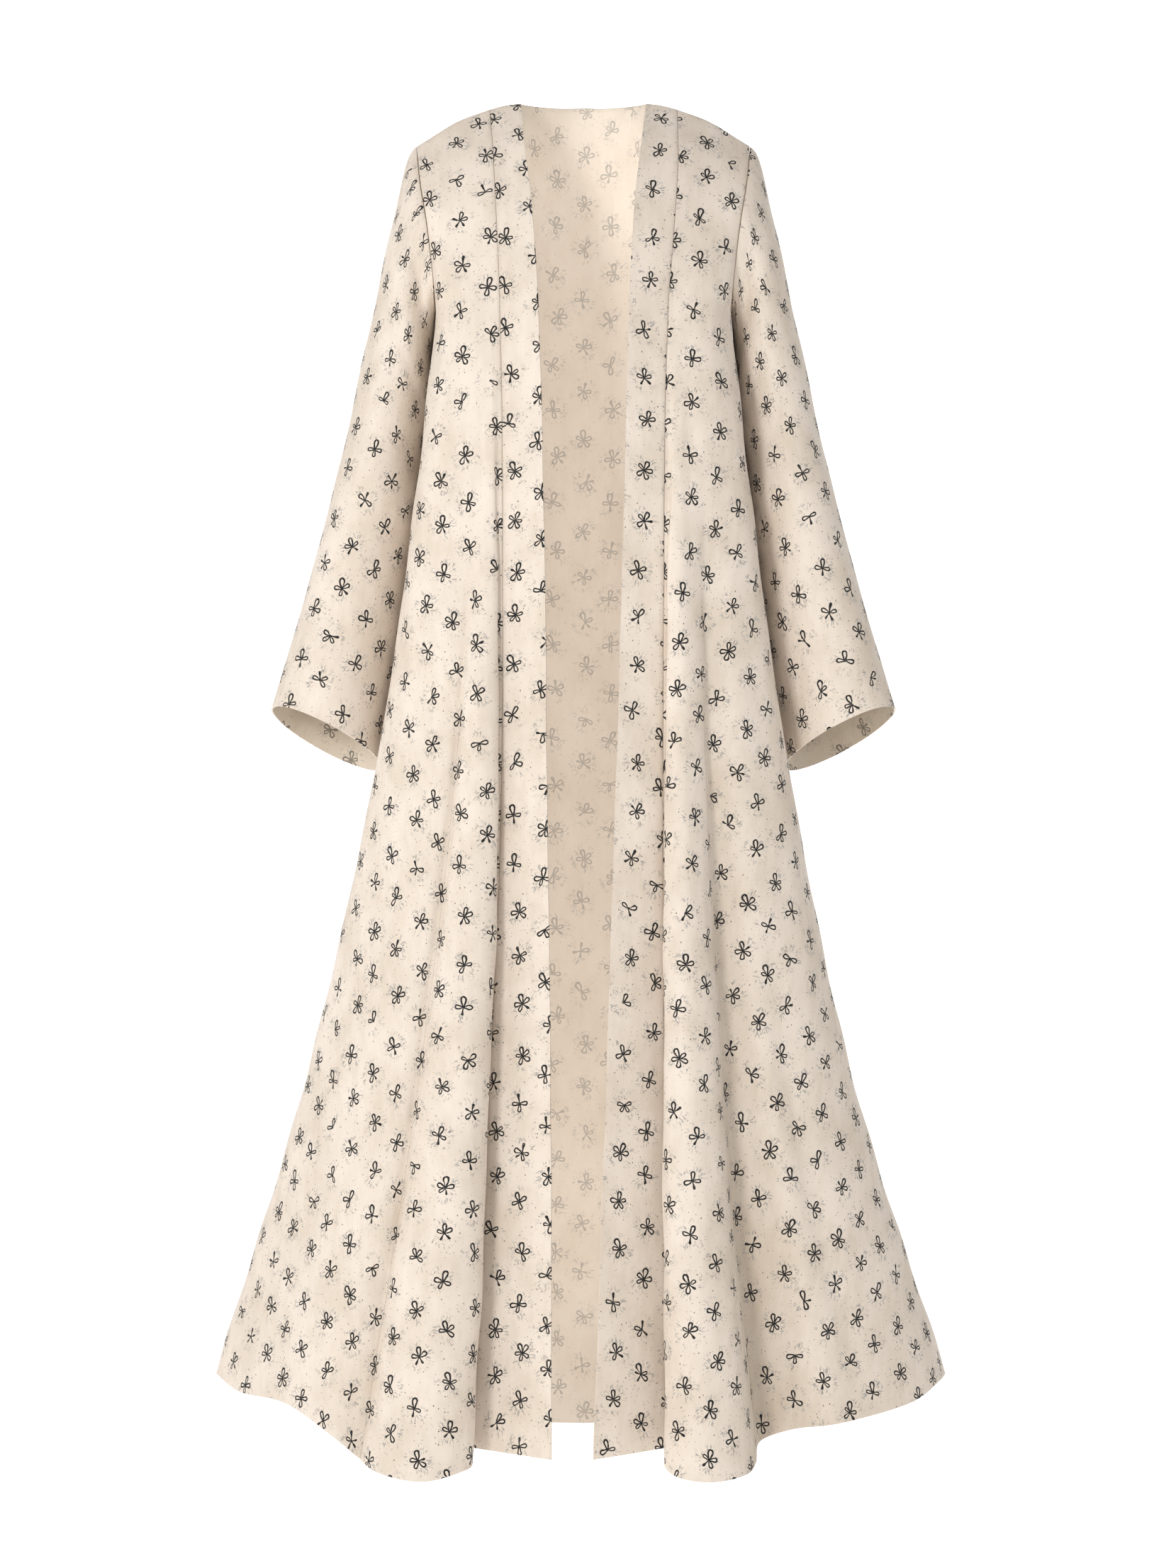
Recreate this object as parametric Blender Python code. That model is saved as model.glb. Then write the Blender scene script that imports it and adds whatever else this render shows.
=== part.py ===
"""Open-front abaya in cotton cloth, hollow and filled out as it hangs from the shoulders.

Metres, +Z up, the front faces -Y and the wearer's left is +X. The origin is midway between
the two side-neck points. Every panel is one surface worked out from tables of sections and
fold lines, and it is then given a thickness. Left and right are the wearer's.
"""

import bmesh
import bpy
import numpy as np

# Cloth
WALL = 0.0016  # thickness of the worn cloth
SEAM_GAP = 0.0003  # clear space between two pieces at a seam
SHOULDER_GAP = 0.0008  # the same where a seam bends round the shoulder or the neck
ARMHOLE_GAP = 0.0010  # the same where a sleeve is set in at an angle

# Neck and shoulder
NECK_HALF = 0.066  # side-neck point to the centre line
NECK_BACK_Y = 0.058  # how far back the back neck lies
NECK_BACK_RISE = 0.004
SHOULDER_X, SHOULDER_Z = 0.175, -0.045
SHOULDER_BEND = 1.6  # 1 makes a straight shoulder seam

# Shares of the way from shoulder seam to hem
UNDERARM = 0.155
ARMHOLE_ROWS = (0, 0.018, 0.037, 0.057, 0.077, 0.097, 0.116, 0.133, 0.146)
SKIRT_ROWS = 14
FOLD_GROWTH = 1.15  # 1 grows a fold as a straight cone

CREAM, CREAM_SHADE = (0.80, 0.71, 0.59), (0.74, 0.65, 0.53)

FRONT_STEPS, BACK_STEPS = 2, 3  # columns from one fold line to the next
BAND_COLUMNS = 3
SLEEVE_RINGS = 12


def table(columns, rows):
    """The rows as named columns."""
    return dict(zip(columns.split(), np.array(rows, float).T))


# A row per level of the side: down both edges of the armhole, and from the underarm down the
# side seam. Turn is 0 where a section is straight, and 1 where it turns the side like an
# ellipse with a corner of 1, or squarer than that with less.
ARMHOLE = table(
    "v x z front_y back_y turn corner",
    [
        (0.000, 0.1750, -0.045, 0.000, 0.000, 0.00, 1.00),
        (0.037, 0.1710, -0.084, -0.030, 0.032, 0.15, 1.00),
        (0.077, 0.1635, -0.130, -0.049, 0.052, 0.40, 0.80),
        (0.116, 0.1575, -0.180, -0.050, 0.054, 0.70, 0.60),
        (0.136, 0.1555, -0.207, -0.038, 0.040, 0.88, 0.48),
        (0.155, 0.1550, -0.225, -0.002, -0.002, 1.00, 0.42),
    ],
)
SIDE_SEAM = table(
    "v right_x left_x z y turn corner",
    [
        (0.155, 0.1550, 0.1550, -0.225, -0.002, 1.00, 0.42),
        (0.250, 0.1665, 0.1665, -0.345, -0.030, 1.00, 0.52),
        (0.400, 0.1908, 0.1900, -0.540, -0.042, 1.00, 0.70),
        (0.520, 0.2172, 0.2150, -0.700, -0.042, 1.00, 0.85),
        (0.750, 0.2848, 0.2765, -1.005, -0.034, 1.00, 1.00),
        (1.000, 0.3850, 0.3800, -1.336, -0.020, 1.00, 1.00),
    ],
)

# The opening edge and the band seam of each front, as distances from the centre line.
FRONT = table(
    "v right_edge right_seam left_edge left_seam edge_y edge_z seam_y seam_z",
    [
        (0.000, 0.0660, 0.0990, 0.0660, 0.0990, 0.000, 0.000, 0.000, -0.0136),
        (0.037, 0.0615, 0.0950, 0.0600, 0.0995, -0.048, -0.050, -0.040, -0.056),
        (0.077, 0.0545, 0.0915, 0.0538, 0.0965, -0.077, -0.107, -0.067, -0.109),
        (0.116, 0.0500, 0.0885, 0.0503, 0.0925, -0.096, -0.162, -0.085, -0.163),
        (0.155, 0.0468, 0.0865, 0.0475, 0.0880, -0.108, -0.217, -0.096, -0.218),
        (0.250, 0.0425, 0.0838, 0.0438, 0.0840, -0.122, -0.350, -0.112, -0.350),
        (0.400, 0.0388, 0.0830, 0.0383, 0.0825, -0.130, -0.560, -0.117, -0.558),
        (0.520, 0.0372, 0.0845, 0.0330, 0.0820, -0.138, -0.728, -0.122, -0.725),
        (0.750, 0.0332, 0.0970, 0.0226, 0.0835, -0.166, -1.050, -0.139, -1.045),
        (1.000, 0.0323, 0.1140, 0.0105, 0.0850, -0.200, -1.397, -0.162, -1.390),
    ],
)

BACK = table(
    "v centre_y centre_z",
    [
        (0.000, NECK_BACK_Y, NECK_BACK_RISE),
        (0.037, 0.0760, -0.047),
        (0.077, 0.0890, -0.103),
        (0.155, 0.1000, -0.214),
        (0.250, 0.1020, -0.347),
        (0.400, 0.0985, -0.558),
        (0.520, 0.0985, -0.727),
        (0.750, 0.1050, -1.050),
        (1.000, 0.1150, -1.400),
    ],
)

# A row per fold line, in order around the cloth: the share of the section on which it
# lies, the level where it begins, and the point where it meets the hem.
FOLD_COLUMNS = "share start hem_x hem_y hem_z"
FOLDS_FRONT_RIGHT = table(
    FOLD_COLUMNS,
    [
        (0.000, 0.19, 0.1140, -0.162, -1.390),  # band seam
        (0.025, 0.19, 0.1285, -0.160, -1.389),  # bottom of the recess
        (0.045, 0.19, 0.1240, -0.180, -1.397),
        (0.065, 0.19, 0.1120, -0.201, -1.409),  # first flute, inner edge
        (0.090, 0.19, 0.1250, -0.223, -1.414),
        (0.130, 0.22, 0.1620, -0.237, -1.416),  # its crest
        (0.170, 0.26, 0.2080, -0.219, -1.404),
        (0.200, 0.28, 0.2270, -0.199, -1.394),  # narrow valley
        (0.240, 0.28, 0.2520, -0.198, -1.386),
        (0.360, 0.28, 0.3000, -0.172, -1.357),  # outer bulge
        (0.600, 0.28, 0.3560, -0.103, -1.342),
        (0.840, 0.28, 0.3810, -0.055, -1.336),
        (1.000, 0.28, 0.3850, -0.020, -1.336),  # side seam
    ],
)
FOLDS_FRONT_LEFT = table(
    FOLD_COLUMNS,
    [
        (0.000, 0.19, 0.0850, -0.162, -1.390),  # band seam
        (0.025, 0.19, 0.1000, -0.160, -1.389),  # bottom of the recess
        (0.045, 0.19, 0.0950, -0.180, -1.396),
        (0.065, 0.19, 0.0826, -0.199, -1.405),  # column flute, inner edge
        (0.095, 0.19, 0.0940, -0.222, -1.413),
        (0.140, 0.20, 0.1270, -0.234, -1.417),  # its crest
        (0.200, 0.24, 0.1620, -0.214, -1.408),
        (0.265, 0.27, 0.1740, -0.180, -1.397),  # its outer edge
        (0.310, 0.27, 0.1800, -0.146, -1.382),  # recess beside it
        (0.380, 0.27, 0.2120, -0.146, -1.376),
        (0.500, 0.27, 0.2600, -0.152, -1.371),  # outer bulge
        (0.700, 0.27, 0.3400, -0.102, -1.355),
        (0.860, 0.27, 0.3710, -0.056, -1.339),
        (1.000, 0.27, 0.3800, -0.020, -1.336),  # side seam
    ],
)
FOLDS_BACK_RIGHT = table(
    FOLD_COLUMNS,
    [
        (0.000, 0.30, 0.0000, 0.115, -1.400),  # centre back
        (0.200, 0.30, 0.1050, 0.114, -1.398),
        (0.377, 0.36, 0.1980, 0.132, -1.388),  # first flute
        (0.500, 0.40, 0.2450, 0.074, -1.378),
        (0.630, 0.40, 0.3120, 0.092, -1.366),  # second flute
        (0.760, 0.34, 0.3380, 0.036, -1.352),
        (0.890, 0.34, 0.3790, 0.020, -1.340),
        (1.000, 0.34, 0.3850, -0.020, -1.336),  # side seam
    ],
)
FOLDS_BACK_LEFT = table(
    FOLD_COLUMNS,
    [
        (0.000, 0.30, 0.0000, 0.115, -1.400),  # centre back
        (0.200, 0.30, 0.1000, 0.110, -1.397),
        (0.377, 0.32, 0.1850, 0.137, -1.390),  # first flute
        (0.500, 0.36, 0.2400, 0.084, -1.379),
        (0.630, 0.42, 0.3000, 0.096, -1.368),  # second flute
        (0.760, 0.42, 0.3400, 0.042, -1.354),
        (0.890, 0.36, 0.3750, 0.018, -1.340),
        (1.000, 0.34, 0.3800, -0.020, -1.336),  # side seam
    ],
)

# A row per ring of a sleeve, from armhole to cuff. The outer point of a ring runs down from
# the shoulder and the inner one from the underarm. Lift raises its front and lowers its back.
SLEEVE = table(
    "w outer_x outer_y outer_z inner_x inner_y inner_z depth lift",
    [
        (0.00, 0.1750, 0.000, -0.0450, 0.1550, -0.002, -0.225, 0.106, 0.000),
        (0.15, 0.1990, 0.006, -0.1250, 0.1645, 0.010, -0.252, 0.126, 0.000),
        (0.35, 0.2255, 0.012, -0.2400, 0.1690, 0.024, -0.345, 0.136, 0.002),
        (0.60, 0.2620, 0.006, -0.4050, 0.1785, 0.028, -0.468, 0.145, 0.006),
        (0.80, 0.2940, 0.002, -0.5250, 0.1940, 0.028, -0.585, 0.140, 0.012),
        (1.00, 0.3280, -0.005, -0.6400, 0.2130, 0.024, -0.698, 0.132, 0.017),
    ],
)
ARMHOLE_FADE = 0.45  # how far down the sleeve the shape of the armhole lasts

# A row per soft crease of a sleeve: its place down the sleeve, the turn around it (0 outer,
# 0.25 front, 0.5 inner, 0.75 back), how much it climbs, its size and its depth.
CREASES = table(
    "w turn climb length width depth",
    [
        (0.13, 0.27, 0.10, 0.16, 0.050, -0.0040),
        (0.22, 0.22, 0.08, 0.14, 0.060, 0.0030),
        (0.47, 0.30, -0.05, 0.20, 0.055, -0.0030),
        (0.55, 0.24, -0.03, 0.18, 0.060, 0.0025),
        (0.50, 0.75, 0.04, 0.22, 0.060, -0.0035),
        (0.66, 0.72, 0.03, 0.20, 0.060, 0.0025),
        (0.16, 0.72, -0.08, 0.18, 0.055, -0.0035),
    ],
)


def eased(levels, column, at, along="v"):
    """A column read between its rows, by cubics that never overshoot them."""
    known, value = levels[along], levels[column]
    slope = np.diff(value) / np.diff(known)
    before, after = slope[:-1], slope[1:]
    same_way = before * after > 0
    inner = np.where(same_way, 2 * before * after / np.where(same_way, before + after, 1), 0)
    tangent = np.concatenate([slope[:1], inner, slope[-1:]])
    at = np.asarray(at, float)
    k = np.clip(np.searchsorted(known, at, "right") - 1, 0, len(known) - 2)
    step = known[k + 1] - known[k]
    t = (at - known[k]) / step
    return (
        value[k] * (1 + 2 * t) * (1 - t) ** 2
        + tangent[k] * step * t * (1 - t) ** 2
        + value[k + 1] * t * t * (3 - 2 * t)
        + tangent[k + 1] * step * t * t * (t - 1)
    )


def through(points, steps):
    """A smooth curve through points[row, k], with this many steps from each to the next."""
    chord = np.linalg.norm(np.diff(points, axis=1), axis=2, keepdims=True) ** 0.5 + 1e-9
    pace = np.diff(points, axis=1) / chord
    inner = (pace[:, :-1] * chord[:, 1:] + pace[:, 1:] * chord[:, :-1]) / (
        chord[:, :-1] + chord[:, 1:]
    )
    tangent = np.concatenate([pace[:, :1], inner, pace[:, -1:]], axis=1)
    columns = []
    for k in range(points.shape[1] - 1):
        for t in np.arange(steps) / steps:
            columns.append(
                points[:, k] * (1 + 2 * t) * (1 - t) ** 2
                + tangent[:, k] * chord[:, k] * t * (1 - t) ** 2
                + points[:, k + 1] * t * t * (3 - 2 * t)
                + tangent[:, k + 1] * chord[:, k] * t * t * (t - 1)
            )
    columns.append(points[:, -1])
    return np.stack(columns, axis=1)


def levels_down():
    """The rows of every panel, from shoulder seam to hem."""
    return np.concatenate([ARMHOLE_ROWS, np.linspace(UNDERARM, 1, SKIRT_ROWS + 1)])


def side_line(v, side, face):
    """The armhole's edge and the side seam below it, and how the sections turn to them."""
    below = (v > UNDERARM)[:, None]
    hole = [eased(ARMHOLE, name, v) for name in ("x", f"{face}_y", "z", "turn", "corner")]
    seam = [eased(SIDE_SEAM, name, v) for name in (f"{side}_x", "y", "z", "turn", "corner")]
    line = np.where(below, np.stack(seam, 1), np.stack(hole, 1))
    return line[:, :3], line[:, 3:4], line[:, 4:]


def smooth_section(v, share, start, side, face):
    """Points of the section at each level v, without its folds, on each share of its way."""
    end, turn, corner = side_line(v, side, face)
    share = share[None, :]
    across = (1 - turn) * share + turn * np.sin(np.pi / 2 * share)
    inward = (1 - turn) * share + turn * (1 - np.cos(np.pi / 2 * share).clip(0) ** corner)
    way = np.stack([across, inward, share + 0 * turn], axis=2)
    return start[:, None] + (end - start)[:, None] * way


def folded(v, folds, start, side, face):
    """Half a body panel: its smooth section, drawn out to the fold lines towards the hem."""
    smooth = smooth_section(v, folds["share"], start, side, face)
    hem = np.stack([folds["hem_x"], folds["hem_y"], folds["hem_z"]], 1)
    grown = np.clip((v[:, None] - folds["start"]) / (1 - folds["start"]), 0, 1)
    grown = grown[..., None] ** FOLD_GROWTH
    steps = {"front": FRONT_STEPS, "back": BACK_STEPS}[face]
    return through(smooth + grown * (hem - smooth[-1]), steps)


def shoulder_z(x):
    """The height of the shoulder seam, and of the back neck inside it."""
    down = np.clip((x - NECK_HALF) / (SHOULDER_X - NECK_HALF), 0, 1)
    rise = NECK_BACK_RISE * (1 - np.clip(x / NECK_HALF, 0, 1))
    return SHOULDER_Z * down**SHOULDER_BEND + rise


def shoulder_normals(x):
    """Square to the shoulder seam, up and a little outward."""
    down = np.clip((x - NECK_HALF) / (SHOULDER_X - NECK_HALF), 0, 1)
    fall = SHOULDER_Z / (SHOULDER_X - NECK_HALF) * SHOULDER_BEND * down ** (SHOULDER_BEND - 1)
    return unit(np.stack([-fall, 0 * x, 1 + 0 * x], axis=1))


def led_to_seam(v, grid):
    """The panel with its top row brought onto the shoulder seam and the back neck."""
    x = grid[0, :, 0]
    y = NECK_BACK_Y * np.cos(np.pi / 2 * np.clip(x / NECK_HALF, 0, 1)).clip(0) ** 0.8
    top = np.stack([x, y, shoulder_z(x)], axis=1)
    fade = np.clip(1 - v / UNDERARM, 0, 1)[:, None, None] ** 2
    return grid + fade * (top - grid[0])


def front_line(v, side, line):
    """The opening edge or the band seam of a front."""
    return np.stack(
        [eased(FRONT, f"{side}_{line}", v)]
        + [eased(FRONT, f"{line}_{axis}", v) for axis in "yz"],
        axis=1,
    )


def front_panel(v, side, folds):
    return led_to_seam(v, folded(v, folds, front_line(v, side, "seam"), side, "front"))


def front_band(v, side, panel):
    """The band, from the opening edge to the panel's first column."""
    edge = front_line(v, side, "edge")
    share = np.linspace(0, 1, BAND_COLUMNS + 1)[None, :, None]
    return led_to_seam(v, edge[:, None] + (panel[:, :1] - edge[:, None]) * share)


def back_half(v, side, folds):
    """Half the back, from centre to side seam."""
    centre = np.stack([0 * v, eased(BACK, "centre_y", v), eased(BACK, "centre_z", v)], 1)
    return led_to_seam(v, folded(v, folds, centre, side, "back"))


def armhole(front, back):
    """The loop of a left armhole: down the front edge, and up the back one."""
    last = len(ARMHOLE_ROWS)
    return np.concatenate([front[: last + 1, -1], back[last - 1 : 0 : -1, -1]])


def sleeve(loop, rings):
    """A left sleeve as rings of points, from the loop of the armhole to the cuff."""
    w = np.linspace(0, 1, rings + 1)
    part = {name: eased(SLEEVE, name, w, "w") for name in SLEEVE}
    outer = np.stack([part["outer_x"], part["outer_y"], part["outer_z"]], 1)
    inner = np.stack([part["inner_x"], part["inner_y"], part["inner_z"]], 1)
    forward = np.stack([0 * w, -part["depth"] / 2, part["lift"]], 1)
    turn = np.arange(len(loop)) / len(loop)
    angle = 2 * np.pi * turn[None, :, None]
    tube = (
        (outer + inner)[:, None] / 2
        + (outer - inner)[:, None] / 2 * np.cos(angle)
        + forward[:, None] * np.sin(angle)
    )
    tube += np.clip(1 - w / ARMHOLE_FADE, 0, 1)[:, None, None] ** 2 * (loop - tube[0])
    outward = tube - tube.mean(axis=1, keepdims=True)
    outward /= np.linalg.norm(outward, axis=2, keepdims=True)
    for row in zip(*CREASES.values()):
        crease = dict(zip(CREASES, row))
        off = (turn[None, :] - crease["turn"] + 0.5) % 1 - 0.5
        away = w[:, None] - crease["w"] - crease["climb"] * off / 0.25
        depth = crease["depth"] * np.exp(
            -((off / crease["length"]) ** 2) - (away / crease["width"]) ** 2
        )
        tube += (depth * np.sin(np.pi * w[:, None]) ** 0.5)[..., None] * outward
    return tube


def outward_normals(grid, outward, ring=False):
    """Unit normals of a grid of points; outward is 1, or -1 where its columns run backwards."""
    if ring:
        wide = np.concatenate([grid[:, -1:], grid, grid[:, :1]], axis=1)
        along = wide[:, 2:] - wide[:, :-2]
    else:
        along = np.gradient(grid, axis=1)
    normal = np.cross(along, np.gradient(grid, axis=0)) * outward
    return unit(normal)


def unit(vectors):
    return vectors / np.linalg.norm(vectors, axis=-1, keepdims=True)


def mitre(normals, key, other, other_key):
    """Gives two edges that meet the same normals, so that their end faces are parallel."""
    mean = unit(normals[key] + other[other_key])
    mean /= np.clip(np.sum(mean * normals[key], axis=-1, keepdims=True), 0.6, 1)
    normals[key] = mean
    other[other_key] = mean


def drawn_back(grid, *edges):
    """The grid with these edges drawn back by half of the seam's gap."""
    moved = grid.copy()
    places = {
        "first": (np.s_[:, 0], np.s_[:, 1], SEAM_GAP),
        "last": (np.s_[:, -1], np.s_[:, -2], SEAM_GAP),
        "top": (np.s_[0], np.s_[1], SHOULDER_GAP),
    }
    for edge in edges:
        key, beside, gap = places[edge]
        moved[key] += unit(grid[beside] - grid[key]) * gap / 2
    return moved


def set_in(tube, tube_normals, loop_normals):
    """The sleeve with its first ring stepped clear of the wall of the armhole."""
    alike = np.sum(tube_normals[0] * loop_normals, axis=1, keepdims=True)
    away = unit((1 + alike) * unit(tube[1] - tube[0]) + (1 - alike) * loop_normals)
    step = away * (ARMHOLE_GAP + WALL * (1 - alike) / 2)
    clear = tube.copy()
    clear[0] += (np.roll(step, 1, axis=0) + 2 * step + np.roll(step, -1, axis=0)) / 4
    return clear


def cloth_half(side, front_folds, back_folds):
    """Band, panel, half back and sleeve of one side: name, grid, normals and ring or not."""
    v = levels_down()
    under = len(ARMHOLE_ROWS)
    panel = front_panel(v, side, front_folds)
    band = front_band(v, side, panel)
    back = back_half(v, side, back_folds)
    tube = sleeve(armhole(panel, back), SLEEVE_RINGS)

    n_panel, n_band = outward_normals(panel, -1), outward_normals(band, -1)
    n_back, n_tube = outward_normals(back, 1), outward_normals(tube, 1, ring=True)
    n_panel[0], n_band[0] = shoulder_normals(panel[0, :, 0]), shoulder_normals(band[0, :, 0])
    beside_neck = back[0, :, 0] > NECK_HALF - 1e-6
    n_back[0, beside_neck] = shoulder_normals(back[0, beside_neck, 0])
    mitre(n_band, np.s_[1:, -1], n_panel, np.s_[1:, 0])
    mitre(n_panel, np.s_[under:, -1], n_back, np.s_[under:, -1])
    tube = set_in(tube, n_tube, armhole(n_panel, n_back))
    n_tube[0] = unit(n_tube[0] + n_tube[1])
    return {
        "band": (drawn_back(band, "last", "top"), n_band),
        "front": (drawn_back(panel, "first", "last", "top"), n_panel),
        "back": (drawn_back(back, "last", "top"), n_back),
        "sleeve": (tube, n_tube),
    }


def mirrored(array):
    """A grid or its normals on the other side of the body."""
    return array * (-1, 1, 1)


def quads(index):
    """The faces of a grid of point numbers."""
    corners = index[:-1, :-1], index[1:, :-1], index[1:, 1:], index[:-1, 1:]
    return np.stack([corner.ravel() for corner in corners], axis=1).tolist()


def add_cloth(name, grid, normals, colour, ring=False):
    """A closed wall of cloth on the grid: both faces, and a strip along each free edge."""
    index = np.arange(2 * grid[..., 0].size).reshape(2, *grid.shape[:2])
    if ring:
        index = np.concatenate([index, index[:, :, :1]], axis=2)
    outside, inside = index
    faces = quads(outside) + quads(inside[:, ::-1])
    faces += quads(np.stack([inside[0], outside[0]]))
    faces += quads(np.stack([outside[-1], inside[-1]]))
    if not ring:
        faces += quads(np.stack([inside[:, 0], outside[:, 0]], axis=1))
        faces += quads(np.stack([outside[:, -1], inside[:, -1]], axis=1))
    points = np.stack([grid + normals * WALL / 2, grid - normals * WALL / 2])
    mesh = bpy.data.meshes.new(name)
    mesh.from_pydata(points.reshape(-1, 3).tolist(), [], faces)
    wall = bmesh.new()
    wall.from_mesh(mesh)
    bmesh.ops.recalc_face_normals(wall, faces=wall.faces)
    wall.to_mesh(mesh)
    wall.free()
    mesh.shade_smooth()
    mesh.set_sharp_from_angle(angle=np.radians(50))
    mesh.materials.append(cloth_material(name, colour))
    garment.objects.link(bpy.data.objects.new(name, mesh))


def cloth_material(name, colour):
    material = bpy.data.materials.new(name)
    material.use_nodes = True
    shader = material.node_tree.nodes["Principled BSDF"]
    shader.inputs["Base Color"].default_value = (*colour, 1)
    shader.inputs["Roughness"].default_value = 0.9
    return material


for leftover in list(bpy.data.objects):
    bpy.data.objects.remove(leftover)
garment = bpy.data.collections.new("abaya")
bpy.context.scene.collection.children.link(garment)

# Both sides are worked out on the wearer's left, and the right one is then mirrored.
left = cloth_half("left", FOLDS_FRONT_LEFT, FOLDS_BACK_LEFT)
right = cloth_half("right", FOLDS_FRONT_RIGHT, FOLDS_BACK_RIGHT)
for node, colour in (("front", CREAM), ("band", CREAM), ("sleeve", CREAM_SHADE)):
    add_cloth(f"{node}_left", *left[node], colour, ring=node == "sleeve")
    add_cloth(f"{node}_right", *map(mirrored, right[node]), colour, ring=node == "sleeve")
whole_back = [
    np.concatenate([mirrored(one)[:, :0:-1], other], axis=1)
    for one, other in zip(right["back"], left["back"])
]
add_cloth("back", *whole_back, CREAM_SHADE)
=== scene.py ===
# %% [markdown]
# # An open-front abaya in printed cotton
#
# This scene builds the looks of an abaya, a long loose robe that is open down the front. It
# is cut from seven pieces of thin cream cotton: a back, two fronts, a band down each front
# edge and two sleeves. The cloth is printed all over with small ink flowers.
#
# A fixed frame of plain solids comes first, one for each piece of cloth. Every piece that is
# made here takes the place of one of them. The plan is the one that a dressmaker follows:
# settle the sizes, cut the panels, shape them as they hang, and look closely at the cloth.

import bmesh
import bpy
import numpy as np
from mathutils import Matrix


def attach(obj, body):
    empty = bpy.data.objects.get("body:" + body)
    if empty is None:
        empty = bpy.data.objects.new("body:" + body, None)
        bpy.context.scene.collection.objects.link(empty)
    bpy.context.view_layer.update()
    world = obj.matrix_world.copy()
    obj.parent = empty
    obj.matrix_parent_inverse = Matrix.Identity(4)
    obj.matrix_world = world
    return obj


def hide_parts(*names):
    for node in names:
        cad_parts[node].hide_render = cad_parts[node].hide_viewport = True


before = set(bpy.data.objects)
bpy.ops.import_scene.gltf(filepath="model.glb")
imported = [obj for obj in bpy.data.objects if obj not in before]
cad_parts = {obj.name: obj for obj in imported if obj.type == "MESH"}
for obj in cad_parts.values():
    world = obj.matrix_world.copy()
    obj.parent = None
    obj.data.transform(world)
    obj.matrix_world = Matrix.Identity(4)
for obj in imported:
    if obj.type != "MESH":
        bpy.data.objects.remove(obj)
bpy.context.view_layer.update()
print("frame nodes:", ", ".join(sorted(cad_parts)))

# %% [markdown]
# ## The camera
#
# The camera comes first, because every later choice is judged through it. The garment was
# seen square on from about five metres, at the height of the wearer's hips. At that distance
# a picture 2213 pixels high takes in 0.747 millimetres of garment with each pixel, so the
# focal length follows from similar triangles: sensor height times distance over the height
# of what is seen.

# %% Camera
PICTURE_HEIGHT = 2213  # pixels
METRES_PER_PIXEL = 0.000747
DISTANCE = 5.0
AIM_X, AIM_Z = 0.0022, -0.717

camera = bpy.data.cameras.new("camera")
camera.sensor_fit = "VERTICAL"
camera.sensor_height = 24.0
camera.lens = camera.sensor_height * DISTANCE / (PICTURE_HEIGHT * METRES_PER_PIXEL)
viewer = bpy.data.objects.new("camera", camera)
viewer.location = (AIM_X, -DISTANCE, AIM_Z)
viewer.rotation_euler = (np.pi / 2, 0, 0)
bpy.context.scene.collection.objects.link(viewer)
bpy.context.scene.camera = viewer
print(f"lens {camera.lens:.1f} mm")

# %% [markdown]
# ## The sizes of the cloth
#
# A hanging garment has no edges to measure from, so its shape is written as tables. Each row
# is one level of the body, given as a share v of the way from the shoulder seam (0) to the
# hem (1). All lengths are metres, the front faces -Y, and the origin lies midway between the
# two points where the shoulder seams meet the neck.
#
# Everything is worked out on the wearer's left, where x is positive, and the right side is
# then mirrored. The two sides have tables of their own where they hang differently.

# %% Tables of the body
NECK_HALF = 0.066  # side-neck point to the centre line
NECK_BACK_Y, NECK_BACK_RISE = 0.058, 0.004
SHOULDER_X, SHOULDER_Z, SHOULDER_BEND = 0.175, -0.045, 1.75
UNDERARM = 0.155
ARMHOLE_ROWS = (0, 0.018, 0.037, 0.057, 0.077, 0.097, 0.116, 0.133, 0.146, UNDERARM)
FOLD_GROWTH = 1.15  # 1 would grow a fold as a straight cone


def table(columns, *rows):
    """The rows as named columns."""
    return dict(zip(columns.split(), np.array(rows, float).T))


# Turn is 0 where a section is straight, and 1 where it turns the side like an ellipse with a
# corner of 1, or squarer than that with less.
ARMHOLE = table(
    "v x z front_y back_y turn corner",
    (0.000, 0.1750, -0.045, 0.000, 0.000, 0.00, 1.00),
    (0.037, 0.1710, -0.084, -0.030, 0.032, 0.15, 1.00),
    (0.077, 0.1635, -0.130, -0.049, 0.052, 0.40, 0.80),
    (0.116, 0.1575, -0.180, -0.050, 0.054, 0.70, 0.60),
    (0.136, 0.1555, -0.207, -0.038, 0.040, 0.88, 0.48),
    (0.155, 0.1550, -0.225, -0.002, -0.002, 1.00, 0.42),
)
SIDE_SEAM = table(
    "v right_x left_x z y turn corner",
    (0.155, 0.1550, 0.1550, -0.225, -0.002, 1.00, 0.42),
    (0.250, 0.1665, 0.1665, -0.345, -0.030, 1.00, 0.52),
    (0.400, 0.1908, 0.1900, -0.540, -0.042, 1.00, 0.70),
    (0.520, 0.2172, 0.2150, -0.700, -0.042, 1.00, 0.85),
    (0.750, 0.2848, 0.2765, -1.005, -0.034, 1.00, 1.00),
    (1.000, 0.3850, 0.3800, -1.336, -0.020, 1.00, 1.00),
)
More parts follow.
